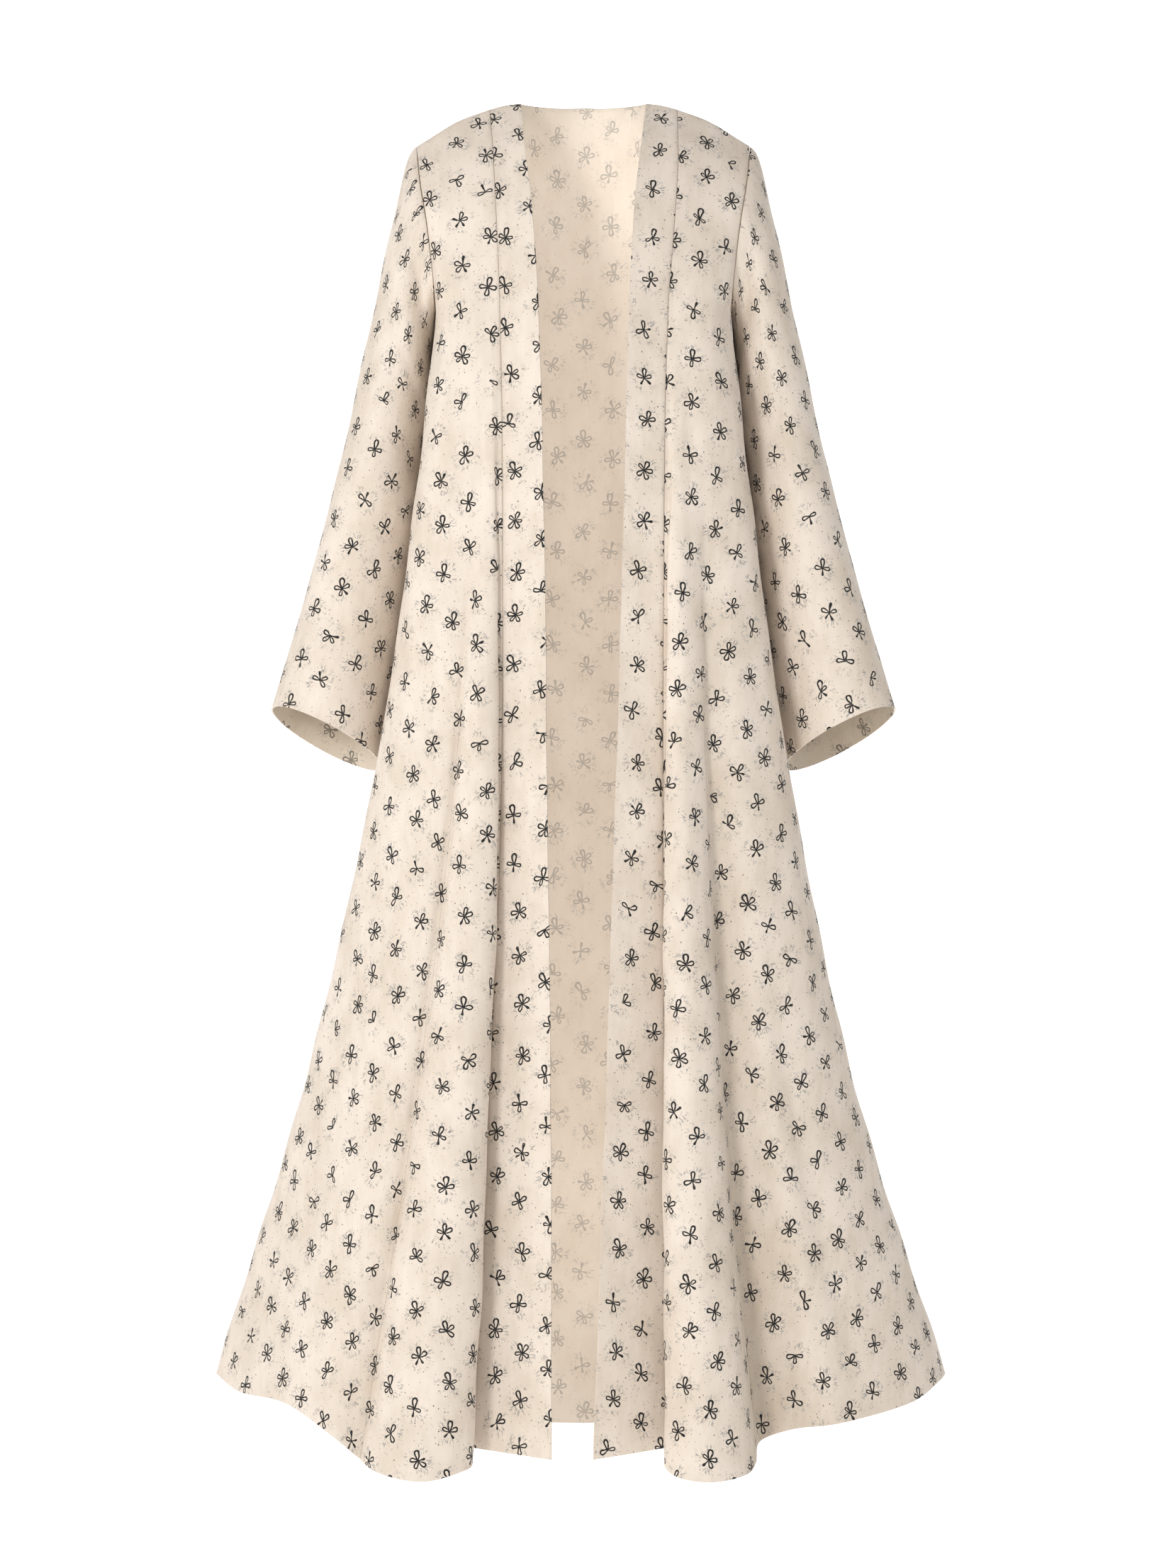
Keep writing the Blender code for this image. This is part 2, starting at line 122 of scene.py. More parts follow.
# The opening edge and the band seam, as distances from the centre line.
FRONT = table(
    "v right_edge right_seam left_edge left_seam edge_y edge_z seam_y seam_z",
    (0.000, 0.0660, 0.0990, 0.0660, 0.0990, 0.000, 0.000, 0.000, -0.0136),
    (0.037, 0.0615, 0.0950, 0.0600, 0.0995, -0.048, -0.050, -0.040, -0.056),
    (0.077, 0.0545, 0.0915, 0.0538, 0.0965, -0.077, -0.107, -0.067, -0.109),
    (0.116, 0.0500, 0.0885, 0.0503, 0.0925, -0.096, -0.162, -0.085, -0.163),
    (0.155, 0.0468, 0.0865, 0.0475, 0.0880, -0.108, -0.217, -0.096, -0.218),
    (0.250, 0.0425, 0.0838, 0.0438, 0.0840, -0.122, -0.350, -0.112, -0.350),
    (0.400, 0.0388, 0.0830, 0.0383, 0.0825, -0.130, -0.560, -0.117, -0.558),
    (0.520, 0.0372, 0.0845, 0.0330, 0.0820, -0.138, -0.728, -0.122, -0.725),
    (0.750, 0.0332, 0.0970, 0.0226, 0.0835, -0.166, -1.050, -0.139, -1.045),
    (1.000, 0.0323, 0.1140, 0.0105, 0.0850, -0.200, -1.401, -0.162, -1.394),
)
BACK = table(
    "v centre_y centre_z",
    (0.000, NECK_BACK_Y, NECK_BACK_RISE),
    (0.037, 0.0760, -0.047),
    (0.077, 0.0890, -0.103),
    (0.155, 0.1000, -0.214),
    (0.250, 0.1020, -0.347),
    (0.400, 0.0985, -0.558),
    (0.520, 0.0985, -0.727),
    (0.750, 0.1050, -1.050),
    (1.000, 0.1150, -1.406),
)
print(f"body {-BACK['centre_z'][-1]:.2f} m long, {2 * SHOULDER_X:.2f} m across the shoulders")

# %% [markdown]
# ## The folds
#
# A skirt that is wider than the body below it falls into flutes. A flute begins as nothing,
# somewhere between chest and hip, and opens steadily towards the hem, like a narrow cone. So
# one point on the hem and a level where it begins are enough to describe a fold line. Folds
# in real cloth are never evenly spaced or equally deep, and the tables keep it that way.

# %% Tables of the folds
FOLD_COLUMNS = "share start hem_x hem_y hem_z"
FOLDS_FRONT_RIGHT = table(
    FOLD_COLUMNS,
    (0.000, 0.19, 0.1140, -0.162, -1.394),  # band seam
    (0.025, 0.19, 0.1285, -0.160, -1.391),  # bottom of the recess
    (0.045, 0.19, 0.1240, -0.180, -1.397),
    (0.065, 0.19, 0.1120, -0.201, -1.406),  # first flute, inner edge
    (0.090, 0.19, 0.1250, -0.223, -1.411),
    (0.130, 0.22, 0.1620, -0.237, -1.418),  # its crest
    (0.170, 0.26, 0.2080, -0.219, -1.411),
    (0.200, 0.28, 0.2270, -0.199, -1.400),  # narrow valley
    (0.240, 0.28, 0.2520, -0.198, -1.379),
    (0.360, 0.28, 0.3000, -0.172, -1.349),  # outer bulge
    (0.600, 0.28, 0.3560, -0.103, -1.344),
    (0.840, 0.28, 0.3810, -0.055, -1.333),
    (1.000, 0.28, 0.3850, -0.020, -1.336),  # side seam
)
FOLDS_FRONT_LEFT = table(
    FOLD_COLUMNS,
    (0.000, 0.19, 0.0850, -0.162, -1.394),  # band seam
    (0.025, 0.19, 0.1000, -0.160, -1.391),  # bottom of the recess
    (0.045, 0.19, 0.0950, -0.180, -1.396),
    (0.065, 0.19, 0.0826, -0.199, -1.405),  # column flute, inner edge
    (0.095, 0.19, 0.0940, -0.222, -1.415),
    (0.140, 0.20, 0.1270, -0.234, -1.419),  # its crest
    (0.200, 0.24, 0.1620, -0.214, -1.415),
    (0.265, 0.27, 0.1740, -0.180, -1.407),  # its outer edge
    (0.310, 0.27, 0.1800, -0.146, -1.390),  # recess beside it
    (0.380, 0.27, 0.2120, -0.146, -1.378),
    (0.500, 0.27, 0.2600, -0.152, -1.371),  # outer bulge
    (0.700, 0.27, 0.3400, -0.102, -1.355),
    (0.860, 0.27, 0.3710, -0.056, -1.339),
    (1.000, 0.27, 0.3800, -0.020, -1.336),  # side seam
)
FOLDS_BACK_RIGHT = table(
    FOLD_COLUMNS,
    (0.000, 0.30, 0.0000, 0.115, -1.406),  # centre back
    (0.200, 0.30, 0.1050, 0.114, -1.403),
    (0.377, 0.36, 0.1980, 0.132, -1.388),  # first flute
    (0.500, 0.40, 0.2450, 0.074, -1.378),
    (0.630, 0.40, 0.3120, 0.092, -1.366),  # second flute
    (0.760, 0.34, 0.3380, 0.036, -1.352),
    (0.890, 0.34, 0.3790, 0.020, -1.340),
    (1.000, 0.34, 0.3850, -0.020, -1.336),  # side seam
)
FOLDS_BACK_LEFT = table(
    FOLD_COLUMNS,
    (0.000, 0.30, 0.0000, 0.115, -1.406),  # centre back
    (0.200, 0.30, 0.1000, 0.110, -1.402),
    (0.377, 0.32, 0.1850, 0.137, -1.390),  # first flute
    (0.500, 0.36, 0.2400, 0.084, -1.379),
    (0.630, 0.42, 0.3000, 0.096, -1.368),  # second flute
    (0.760, 0.42, 0.3400, 0.042, -1.354),
    (0.890, 0.36, 0.3750, 0.018, -1.340),
    (1.000, 0.34, 0.3800, -0.020, -1.336),  # side seam
)
print("fold lines:", len(FOLDS_FRONT_RIGHT["share"]), "and", len(FOLDS_FRONT_LEFT["share"]))

# %% [markdown]
# ## The sleeves
#
# A sleeve is a tube from the armhole to the cuff. Its outer line runs down from the point of
# the shoulder and its inner line from the underarm, and the table gives both at a few rings.
# A relaxed arm bends a little forward, so the rings do too. Lift raises the front of a ring
# and lowers its back, which is what shows a sliver of the inside at the cuff.

# %% Table of the sleeve
SLEEVE = table(
    "w outer_x outer_y outer_z inner_x inner_y inner_z depth lift",
    (0.00, 0.1750, 0.000, -0.0450, 0.1550, -0.002, -0.225, 0.106, 0.000),
    (0.03, 0.1815, 0.001, -0.0535, 0.1555, 0.004, -0.231, 0.111, 0.000),
    (0.08, 0.1903, 0.003, -0.0790, 0.1565, 0.012, -0.241, 0.118, 0.000),
    (0.15, 0.1998, 0.006, -0.1200, 0.1580, 0.020, -0.256, 0.126, 0.000),
    (0.35, 0.2255, 0.012, -0.2400, 0.1645, 0.030, -0.345, 0.136, 0.002),
    (0.60, 0.2620, 0.006, -0.4050, 0.1785, 0.028, -0.468, 0.145, 0.006),
    (0.80, 0.2940, 0.002, -0.5250, 0.1940, 0.028, -0.585, 0.140, 0.012),
    (1.00, 0.3280, -0.005, -0.6400, 0.2130, 0.024, -0.698, 0.132, 0.017),
)
ARMHOLE_FADE = 0.45  # how far down the sleeve the shape of the armhole lasts
print(f"sleeve head {SLEEVE['depth'][0]:.3f} m deep, cuff {SLEEVE['depth'][-1]:.3f} m")

# %% [markdown]
# ## Creases
#
# Folds are long and come from the cut. Creases are short and come from wear: where the arm
# bends, where the sleeve is set in, and where cloth has been sat on or folded away. Each row
# below is one soft trough (a negative depth) or ridge. On a sleeve, turn goes around the arm:
# 0 is the outer line, 0.25 the front, 0.5 the inner line and 0.75 the back.

# %% Tables of the creases
SLEEVE_CREASES = table(
    "w turn climb length width depth",
    (0.13, 0.27, 0.10, 0.16, 0.050, -0.0040),
    (0.22, 0.22, 0.08, 0.14, 0.060, 0.0030),
    (0.47, 0.30, -0.05, 0.20, 0.055, -0.0030),
    (0.55, 0.24, -0.03, 0.18, 0.060, 0.0025),
    (0.50, 0.75, 0.04, 0.22, 0.060, -0.0035),
    (0.66, 0.72, 0.03, 0.20, 0.060, 0.0025),
    (0.16, 0.72, -0.08, 0.18, 0.055, -0.0035),
    (0.31, 0.30, 0.07, 0.10, 0.022, -0.0012),
    (0.60, 0.34, -0.06, 0.10, 0.020, -0.0014),
    (0.74, 0.20, 0.04, 0.12, 0.026, -0.0012),
    (0.86, 0.31, -0.05, 0.13, 0.024, 0.0010),
    (0.40, 0.68, 0.05, 0.11, 0.022, -0.0014),
    (0.57, 0.80, -0.04, 0.13, 0.024, -0.0014),
    (0.78, 0.70, 0.05, 0.12, 0.022, -0.0010),
)
# On a panel, fold counts the fold lines from the inner edge, and drift is how many of them
# the crease crosses on its way down.
PANEL_COLUMNS = "fold top bottom drift width depth"
CREASES_FRONT_RIGHT = table(
    PANEL_COLUMNS,
    (7.0, 0.36, 1.30, 0.0, 0.0045, -0.0035),  # the narrow valley, down to the hem
    (5.0, 0.10, 0.42, -1.2, 0.016, -0.0020),
    (9.4, 0.16, 0.44, -1.6, 0.015, -0.0022),
    (9.3, 0.55, 1.05, 0.3, 0.020, -0.0020),
    (10.4, 0.20, 0.60, -0.6, 0.014, 0.0018),
    (4.2, 0.55, 0.92, 0.3, 0.014, 0.0014),
)
CREASES_FRONT_LEFT = table(
    PANEL_COLUMNS,
    (10.2, 0.62, 1.04, 0.2, 0.016, -0.0045),  # the trough outside the column flute
    (5.2, 0.10, 0.40, -1.0, 0.016, -0.0020),
    (10.6, 0.16, 0.46, -1.6, 0.016, -0.0022),
    (8.0, 0.30, 0.70, 0.4, 0.012, -0.0016),
    (11.4, 0.30, 0.75, -0.4, 0.015, 0.0018),
    (4.4, 0.60, 0.96, -0.3, 0.014, 0.0014),
)
CREASES_BACK = table(
    PANEL_COLUMNS,
    (1.4, 0.06, 0.40, -0.9, 0.020, -0.0025),
    (3.0, 0.10, 0.50, -0.8, 0.020, -0.0030),
    (0.5, 0.45, 1.05, 0.2, 0.022, -0.0025),
    (4.6, 0.18, 0.62, -0.5, 0.018, 0.0022),
    (5.6, 0.30, 0.80, 0.3, 0.016, -0.0022),
    (1.8, 0.50, 1.00, 0.2, 0.020, 0.0020),
)
on_panels = sum(len(t["fold"]) for t in (CREASES_FRONT_RIGHT, CREASES_FRONT_LEFT, CREASES_BACK))
print(f"creases: {on_panels} in the tables of the panels, {len(SLEEVE_CREASES['w'])} on a sleeve")

# %% [markdown]
# ## Reading the tables
#
# Between two rows of a table the value follows a cubic that never overshoots them. Plain
# splines would, and a sleeve with an overshoot gets a bulge that nobody asked for.

# %% Curves between the rows


def unit(vectors):
    return vectors / np.linalg.norm(vectors, axis=-1, keepdims=True)


def eased(levels, column, at, along="v"):
    """A column read between its rows, by cubics that never overshoot them."""
    known, value = levels[along], levels[column]
    slope = np.diff(value) / np.diff(known)
    before, after = slope[:-1], slope[1:]
    same_way = before * after > 0
    inner = np.where(same_way, 2 * before * after / np.where(same_way, before + after, 1), 0)
    tangent = np.concatenate([slope[:1], inner, slope[-1:]])
    at = np.asarray(at, float)
    k = np.clip(np.searchsorted(known, at, "right") - 1, 0, len(known) - 2)
    step = known[k + 1] - known[k]
    t = (at - known[k]) / step
    return (
        value[k] * (1 + 2 * t) * (1 - t) ** 2
        + tangent[k] * step * t * (1 - t) ** 2
        + value[k + 1] * t * t * (3 - 2 * t)
        + tangent[k + 1] * step * t * t * (t - 1)
    )


def through(points, steps):
    """A smooth curve through points[row, k], with this many steps from each to the next."""
    chord = np.linalg.norm(np.diff(points, axis=1), axis=2, keepdims=True) ** 0.5 + 1e-9
    pace = np.diff(points, axis=1) / chord
    inner = (pace[:, :-1] * chord[:, 1:] + pace[:, 1:] * chord[:, :-1]) / (
        chord[:, :-1] + chord[:, 1:]
    )
    tangent = np.concatenate([pace[:, :1], inner, pace[:, -1:]], axis=1)
    columns = []
    for k in range(points.shape[1] - 1):
        for t in np.arange(steps) / steps:
            columns.append(
                points[:, k] * (1 + 2 * t) * (1 - t) ** 2
                + tangent[:, k] * chord[:, k] * t * (1 - t) ** 2
                + points[:, k + 1] * t * t * (3 - 2 * t)
                + tangent[:, k + 1] * chord[:, k] * t * t * (t - 1)
            )
    columns.append(points[:, -1])
    return np.stack(columns, axis=1)


# %% [markdown]
# ## Rows and columns
#
# The panels are grids of points. Six millimetres from row to row is fine enough for soft
# folds. The rows are closer around the armhole, because they carry on around the sleeve as
# its columns.

# %% Rows down the body
ROWS_PER_LEVEL, SKIRT_ROWS = 5, 190
FRONT_STEPS, BACK_STEPS, BAND_STEPS, SLEEVE_RINGS = 9, 11, 16, 130

armhole_levels = {"row": np.arange(len(ARMHOLE_ROWS), dtype=float), "v": np.array(ARMHOLE_ROWS)}
UNDER = ROWS_PER_LEVEL * (len(ARMHOLE_ROWS) - 1)  # the row that reaches the underarm
LEVELS = np.concatenate(
    [
        eased(armhole_levels, "v", np.arange(UNDER) / ROWS_PER_LEVEL, "row"),
        np.linspace(UNDERARM, 1, SKIRT_ROWS + 1),
    ]
)
print(f"{len(LEVELS)} rows, {UNDER} of them down to the underarm")

# %% [markdown]
# ## The body panels
#
# A section of the body at one level starts at the band seam, or at the centre of the back,
# and ends at the side. Towards the side it turns like an ellipse. From the waist down it is
# drawn out to the fold lines of the hem. At the top it is led onto the shoulder seam.

# %% Fronts, bands and back


def side_line(v, side, face):
    """The armhole's edge and the side seam below it, and how the sections turn to them."""
    below = (v > UNDERARM)[:, None]
    hole = [eased(ARMHOLE, name, v) for name in ("x", f"{face}_y", "z", "turn", "corner")]
    seam = [eased(SIDE_SEAM, name, v) for name in (f"{side}_x", "y", "z", "turn", "corner")]
    line = np.where(below, np.stack(seam, 1), np.stack(hole, 1))
    return line[:, :3], line[:, 3:4], line[:, 4:]


def smooth_section(v, share, start, side, face):
    """Points of the section at each level v, without its folds, on each share of its way."""
    end, turn, corner = side_line(v, side, face)
    share = share[None, :]
    across = (1 - turn) * share + turn * np.sin(np.pi / 2 * share)
    inward = (1 - turn) * share + turn * (1 - np.cos(np.pi / 2 * share).clip(0) ** corner)
    way = np.stack([across, inward, share + 0 * turn], axis=2)
    return start[:, None] + (end - start)[:, None] * way


def folded(v, folds, start, side, face, steps):
    """Half a body panel: its smooth section, drawn out to the fold lines towards the hem."""
    smooth = smooth_section(v, folds["share"], start, side, face)
    hem = np.stack([folds["hem_x"], folds["hem_y"], folds["hem_z"]], 1)
    grown = np.clip((v[:, None] - folds["start"]) / (1 - folds["start"]), 0, 1)
    return through(smooth + grown[..., None] ** FOLD_GROWTH * (hem - smooth[-1]), steps)


def shoulder_z(x):
    """The height of the shoulder seam, and of the back neck inside it."""
    down = np.clip((x - NECK_HALF) / (SHOULDER_X - NECK_HALF), 0, 1)
    rise = NECK_BACK_RISE * (1 - np.clip(x / NECK_HALF, 0, 1))
    return SHOULDER_Z * down**SHOULDER_BEND + rise


def shoulder_normals(x):
    """Square to the shoulder seam, up and a little outward."""
    down = np.clip((x - NECK_HALF) / (SHOULDER_X - NECK_HALF), 0, 1)
    fall = SHOULDER_Z / (SHOULDER_X - NECK_HALF) * SHOULDER_BEND * down ** (SHOULDER_BEND - 1)
    return unit(np.stack([-fall, 0 * x, 1 + 0 * x], axis=1))


def led_to_seam(v, grid):
    """The panel with its top row brought onto the shoulder seam and the back neck."""
    x = grid[0, :, 0]
    y = NECK_BACK_Y * np.cos(np.pi / 2 * np.clip(x / NECK_HALF, 0, 1)).clip(0) ** 0.8
    top = np.stack([x, y, shoulder_z(x)], axis=1)
    fade = np.clip(1 - v / UNDERARM, 0, 1)[:, None, None] ** 2
    return grid + fade * (top - grid[0])


def front_line(v, side, line):
    """The opening edge or the band seam of a front."""
    return np.stack(
        [eased(FRONT, f"{side}_{line}", v)]
        + [eased(FRONT, f"{line}_{axis}", v) for axis in "yz"],
        axis=1,
    )


def front_panel(v, side, folds):
    seam = front_line(v, side, "seam")
    return led_to_seam(v, folded(v, folds, seam, side, "front", FRONT_STEPS))


def front_band(v, side, panel):
    """The band, from the opening edge to the panel's first column."""
    edge = front_line(v, side, "edge")
    share = np.linspace(0, 1, BAND_STEPS + 1)[None, :, None]
    return led_to_seam(v, edge[:, None] + (panel[:, :1] - edge[:, None]) * share)


def back_half(v, side, folds):
    """Half the back, from centre to side seam."""
    centre = np.stack([0 * v, eased(BACK, "centre_y", v), eased(BACK, "centre_z", v)], 1)
    return led_to_seam(v, folded(v, folds, centre, side, "back", BACK_STEPS))


# %% [markdown]
# ## The sleeve tube
#
# The first ring of the sleeve is the loop of the armhole itself, down its front edge and up
# its back one. That shape fades into plain ovals over the upper arm, which gives the sleeve
# a soft rounded head, as a set-in sleeve has.

# %% Sleeve


def armhole(front, back):
    """The loop of a left armhole: down the front edge, and up the back one."""
    return np.concatenate([front[: UNDER + 1, -1], back[UNDER - 1 : 0 : -1, -1]])


def sleeve(loop, rings):
    """A left sleeve as rings of points, from the loop of the armhole to the cuff."""
    w = np.linspace(0, 1, rings + 1)
    part = {name: eased(SLEEVE, name, w, "w") for name in SLEEVE}
    outer = np.stack([part["outer_x"], part["outer_y"], part["outer_z"]], 1)
    inner = np.stack([part["inner_x"], part["inner_y"], part["inner_z"]], 1)
    forward = np.stack([0 * w, -part["depth"] / 2, part["lift"]], 1)
    turn = np.arange(len(loop)) / len(loop)
    angle = 2 * np.pi * turn[None, :, None]
    tube = (
        (outer + inner)[:, None] / 2
        + (outer - inner)[:, None] / 2 * np.cos(angle)
        + forward[:, None] * np.sin(angle)
    )
    tube += np.clip(1 - w / ARMHOLE_FADE, 0, 1)[:, None, None] ** 2 * (loop - tube[0])
    outward = unit(tube - tube.mean(axis=1, keepdims=True))
    for row in zip(*SLEEVE_CREASES.values()):
        crease = dict(zip(SLEEVE_CREASES, row))
        off = (turn[None, :] - crease["turn"] + 0.5) % 1 - 0.5
        away = w[:, None] - crease["w"] - crease["climb"] * off / 0.25
        depth = crease["depth"] * np.exp(
            -((off / crease["length"]) ** 2) - (away / crease["width"]) ** 2
        )
        tube += (depth * np.sin(np.pi * w[:, None]) ** 0.5)[..., None] * outward
    return tube


# %% [markdown]
# ## Seams and recesses
#
# Two pieces of cloth that are sewn together roll inward along the stitches, and that small
# groove is what the eye reads as a seam. Here both edges of a seam get the same normals, stay
# a hair apart, and sink by half a millimetre over the last couple of millimetres. Two extra
# columns beside every seam give the groove something to bend.
#
# Two more measures are taken here for the material to use: how far a point is from the nearest
# seam, for a seam line of thread and painted shade, and how deep it lies in a recess between
# folds, for painted shade. A line stretched over the crests of a section, as a thread would lie,
# gives the second.

# %% Seam helpers
SEAM_GAP, SHOULDER_GAP, ARMHOLE_GAP = 0.0003, 0.0008, 0.0010
GROOVE_DEPTH, GROOVE_WIDTH = 0.0006, 0.0014
DEEP = 0.05  # a recess as deep as this gets its full painted shade


def outward_normals(grid, outward, ring=False):
    """Unit normals of a grid of points; outward is 1, or -1 where its columns run backwards."""
    if ring:
        wide = np.concatenate([grid[:, -1:], grid, grid[:, :1]], axis=1)
        along = wide[:, 2:] - wide[:, :-2]
    else:
        along = np.gradient(grid, axis=1)
    return unit(np.cross(along, np.gradient(grid, axis=0)) * outward)


def crowded(grid, *edges):
    """The grid with two more columns beside each of these edges."""
    thirds = np.array([1 / 3, 2 / 3])[None, :, None]
    if "last" in edges:
        beside, last = grid[:, -2:-1], grid[:, -1:]
        grid = np.concatenate([grid[:, :-1], beside + (last - beside) * thirds, last], axis=1)
    if "first" in edges:
        first, beside = grid[:, :1], grid[:, 1:2]
        grid = np.concatenate([first, first + (beside - first) * thirds, grid[:, 1:]], axis=1)
    return grid


def mitre(normals, key, other, other_key):
    """Gives two edges that meet the same normals, so that their end faces are parallel."""
    mean = unit(normals[key] + other[other_key])
    mean /= np.clip(np.sum(mean * normals[key], axis=-1, keepdims=True), 0.6, 1)
    normals[key] = mean
    other[other_key] = mean


def drawn_back(grid, *edges):
    """The grid with these edges drawn back by half of the seam's gap."""
    moved = grid.copy()
    places = {
        "first": (np.s_[:, 0], np.s_[:, 3], SEAM_GAP),
        "last": (np.s_[:, -1], np.s_[:, -4], SEAM_GAP),
        "top": (np.s_[0], np.s_[1], SHOULDER_GAP),
    }
    for edge in edges:
        key, beside, gap = places[edge]
        moved[key] += unit(grid[beside] - grid[key]) * gap / 2
    return moved


def distances(grid, axis):
    """How far each point lies along its row or column, from the first point of it."""
    steps = np.linalg.norm(np.diff(grid, axis=axis), axis=2)
    start = np.zeros_like(np.take(steps, [0], axis=axis))
    return np.concatenate([start, np.cumsum(steps, axis=axis)], axis=axis)


def nearest(grid, *edges):
    """How far each point is from the nearest of these edges."""
    across, down = distances(grid, 1), distances(grid, 0)
    far = {
        "first": across,
        "last": across[:, -1:] - across,
        "top": down,
        "hem": down[-1:] - down,
    }
    return np.minimum.reduce([far[edge] for edge in edges])


def sunk(grid, normals, *edges):
    """The grid with a shallow groove rolled in along each of these seams."""
    depth = GROOVE_DEPTH * np.exp(-((nearest(grid, *edges) / GROOVE_WIDTH) ** 2))
    return grid - depth[..., None] * normals


def hull_line(x, y):
    """The corners of the tightest line that keeps in front of all the points of a section."""
    corners = []
    for point in sorted(zip(x, y)):
        while len(corners) > 1:
            (ax, ay), (bx, by) = corners[-2:]
            if (bx - ax) * (point[1] - ay) > (by - ay) * (point[0] - ax):
                break
            corners.pop()
        corners.append(point)
    return np.array(corners).T


def recess_shade_mask(grid):
    """The mask of painted shade: 0 on the crests of a front panel, up to 1 in a recess of DEEP or
    more between them.
    """
    far = [y - np.interp(x, *hull_line(x, y)) for x, y in zip(grid[..., 0], grid[..., 1])]
    return np.clip(np.array(far) / DEEP, 0, 1)


def set_in(tube, tube_normals, loop_normals):
    """The sleeve with its first ring stepped clear of the wall of the armhole."""
    alike = np.sum(tube_normals[0] * loop_normals, axis=1, keepdims=True)
    away = unit((1 + alike) * unit(tube[3] - tube[0]) + (1 - alike) * loop_normals)
    step = away * (ARMHOLE_GAP + WALL * (1 - alike) / 2)
    clear = tube.copy()
    fade = np.array([1, 0.7, 0.35])[:, None, None]
    clear[:3] += fade * (np.roll(step, 1, axis=0) + 2 * step + np.roll(step, -1, axis=0)) / 4
    return clear


# %% [markdown]
# ## Wear in the panels
#
# The creases of the tables are added along the normals, and so is a faint ripple of less
# than a millimetre. No hand-hung cloth is ever as even as a formula, and light finds every
# flat place.

# %% Creases and ripple
RIPPLE = table(
    "across down phase height",
    (9.0, 3.1, 0.4, 0.0005),
    (14.0, -5.3, 2.1, 0.0004),
    (-6.0, 7.9, 4.4, 0.0005),
    (23.0, 4.3, 1.2, 0.0002),
)


def creased(v, grid, normals, creases, folds):
    """The panel with its creases. Its columns run evenly from one fold line to the next."""
    across = distances(grid, 1)
    column = np.linspace(0, len(folds["share"]) - 1, grid.shape[1])
    lift = np.zeros_like(across)
    for row in zip(*creases.values()):
        crease = dict(zip(creases, row))
        way = np.clip((v - crease["top"]) / (crease["bottom"] - crease["top"]), 0, 1)
        middle = np.array(
            [
                np.interp(crease["fold"] + crease["drift"] * share, column, line)
                for share, line in zip(way, across)
            ]
        )
        off = (across - middle[:, None]) / crease["width"]
        lift += crease["depth"] * (np.sin(np.pi * way) ** 0.8)[:, None] * np.exp(-(off**2))
    return grid + lift[..., None] * normals


def rippled(grid, normals):
    x, z = grid[..., 0], grid[..., 2]
    lift = np.zeros_like(x)
    for across, down, phase, height in zip(*RIPPLE.values()):
        lift += height * np.sin(2 * np.pi * (across * x + down * z) + phase)
    return grid + lift[..., None] * normals


# %% [markdown]
# ## One half of the garment
#
# Now the parts come together for one side: panel, band, half of the back, and sleeve.

# %% Shape one side
WALL = 0.0010  # the cloth with the air that its crimp holds
VALLEY_COLUMN = 7 * FRONT_STEPS + 2  # the eighth fold line, past the two crowded columns
VALLEY_SHADE_FROM, VALLEY_SHADE_FADE = 0.46, 0.10  # where the painted shade line along it is whole


def cloth_half(side, front_folds, back_folds, front_creases):
    """Band, panel, half back and sleeve: each a grid, its normals, and its two measures."""
    v = LEVELS
    panel = front_panel(v, side, front_folds)
    band = front_band(v, side, panel)
    back = back_half(v, side, back_folds)
    tube = sleeve(armhole(panel, back), SLEEVE_RINGS)

    panel = creased(v, panel, outward_normals(panel, -1), front_creases, front_folds)
    back = creased(v, back, outward_normals(back, 1), CREASES_BACK, back_folds)
    panel, band = crowded(panel, "first", "last"), crowded(band, "first", "last")
    back = crowded(back, "last")

    n_panel, n_band = outward_normals(panel, -1), outward_normals(band, -1)
    n_back, n_tube = outward_normals(back, 1), outward_normals(tube, 1, ring=True)
    n_panel[0], n_band[0] = shoulder_normals(panel[0, :, 0]), shoulder_normals(band[0, :, 0])
    beside_neck = back[0, :, 0] > NECK_HALF - 1e-6
    n_back[0, beside_neck] = shoulder_normals(back[0, beside_neck, 0])
    mitre(n_band, np.s_[1:, -1], n_panel, np.s_[1:, 0])
    mitre(n_panel, np.s_[UNDER:, -1], n_back, np.s_[UNDER:, -1])
    tube = set_in(tube, n_tube, armhole(n_panel, n_back))
    n_tube[0] = unit(n_tube[0] + n_tube[1])

    band, panel = rippled(band, n_band), rippled(panel, n_panel)
    back, tube = rippled(back, n_back), rippled(tube, n_tube)
    band = sunk(drawn_back(band, "last", "top"), n_band, "last", "top")
    panel = sunk(drawn_back(panel, "first", "last", "top"), n_panel, "first", "last", "top")
    back = sunk(drawn_back(back, "last", "top"), n_back, "last", "top")
    tube = sunk(tube, n_tube, "top")

    to_seam = {
        "band": nearest(band, "last", "top"),
        "front": nearest(panel, "first", "last", "top"),
        "back": nearest(back, "last", "top"),
        "sleeve": nearest(tube, "top"),
    }
    # The eighth fold line of each front gets a painted shade line, laid in through the same
    # measure as the seams.
    across = distances(panel, 1)
    to_valley_shade = np.abs(across - across[:, VALLEY_COLUMN, None])
    to_valley_shade += 0.02 * np.clip((VALLEY_SHADE_FROM - v[:, None]) / VALLEY_SHADE_FADE, 0, 1)
    to_seam["front"] = np.minimum(to_seam["front"], to_valley_shade * 1.4)
    grids = {"band": band, "front": panel, "back": back, "sleeve": tube}
    normals = {"band": n_band, "front": n_panel, "back": n_back, "sleeve": n_tube}
    # The painted shade of recesses falls on the front panels only.
    painted_recess_shade = {part: np.zeros_like(far) for part, far in to_seam.items()}
    painted_recess_shade["front"] = recess_shade_mask(panel)
    return {part: (grids[part], normals[part], to_seam[part], painted_recess_shade[part]) for part in grids}


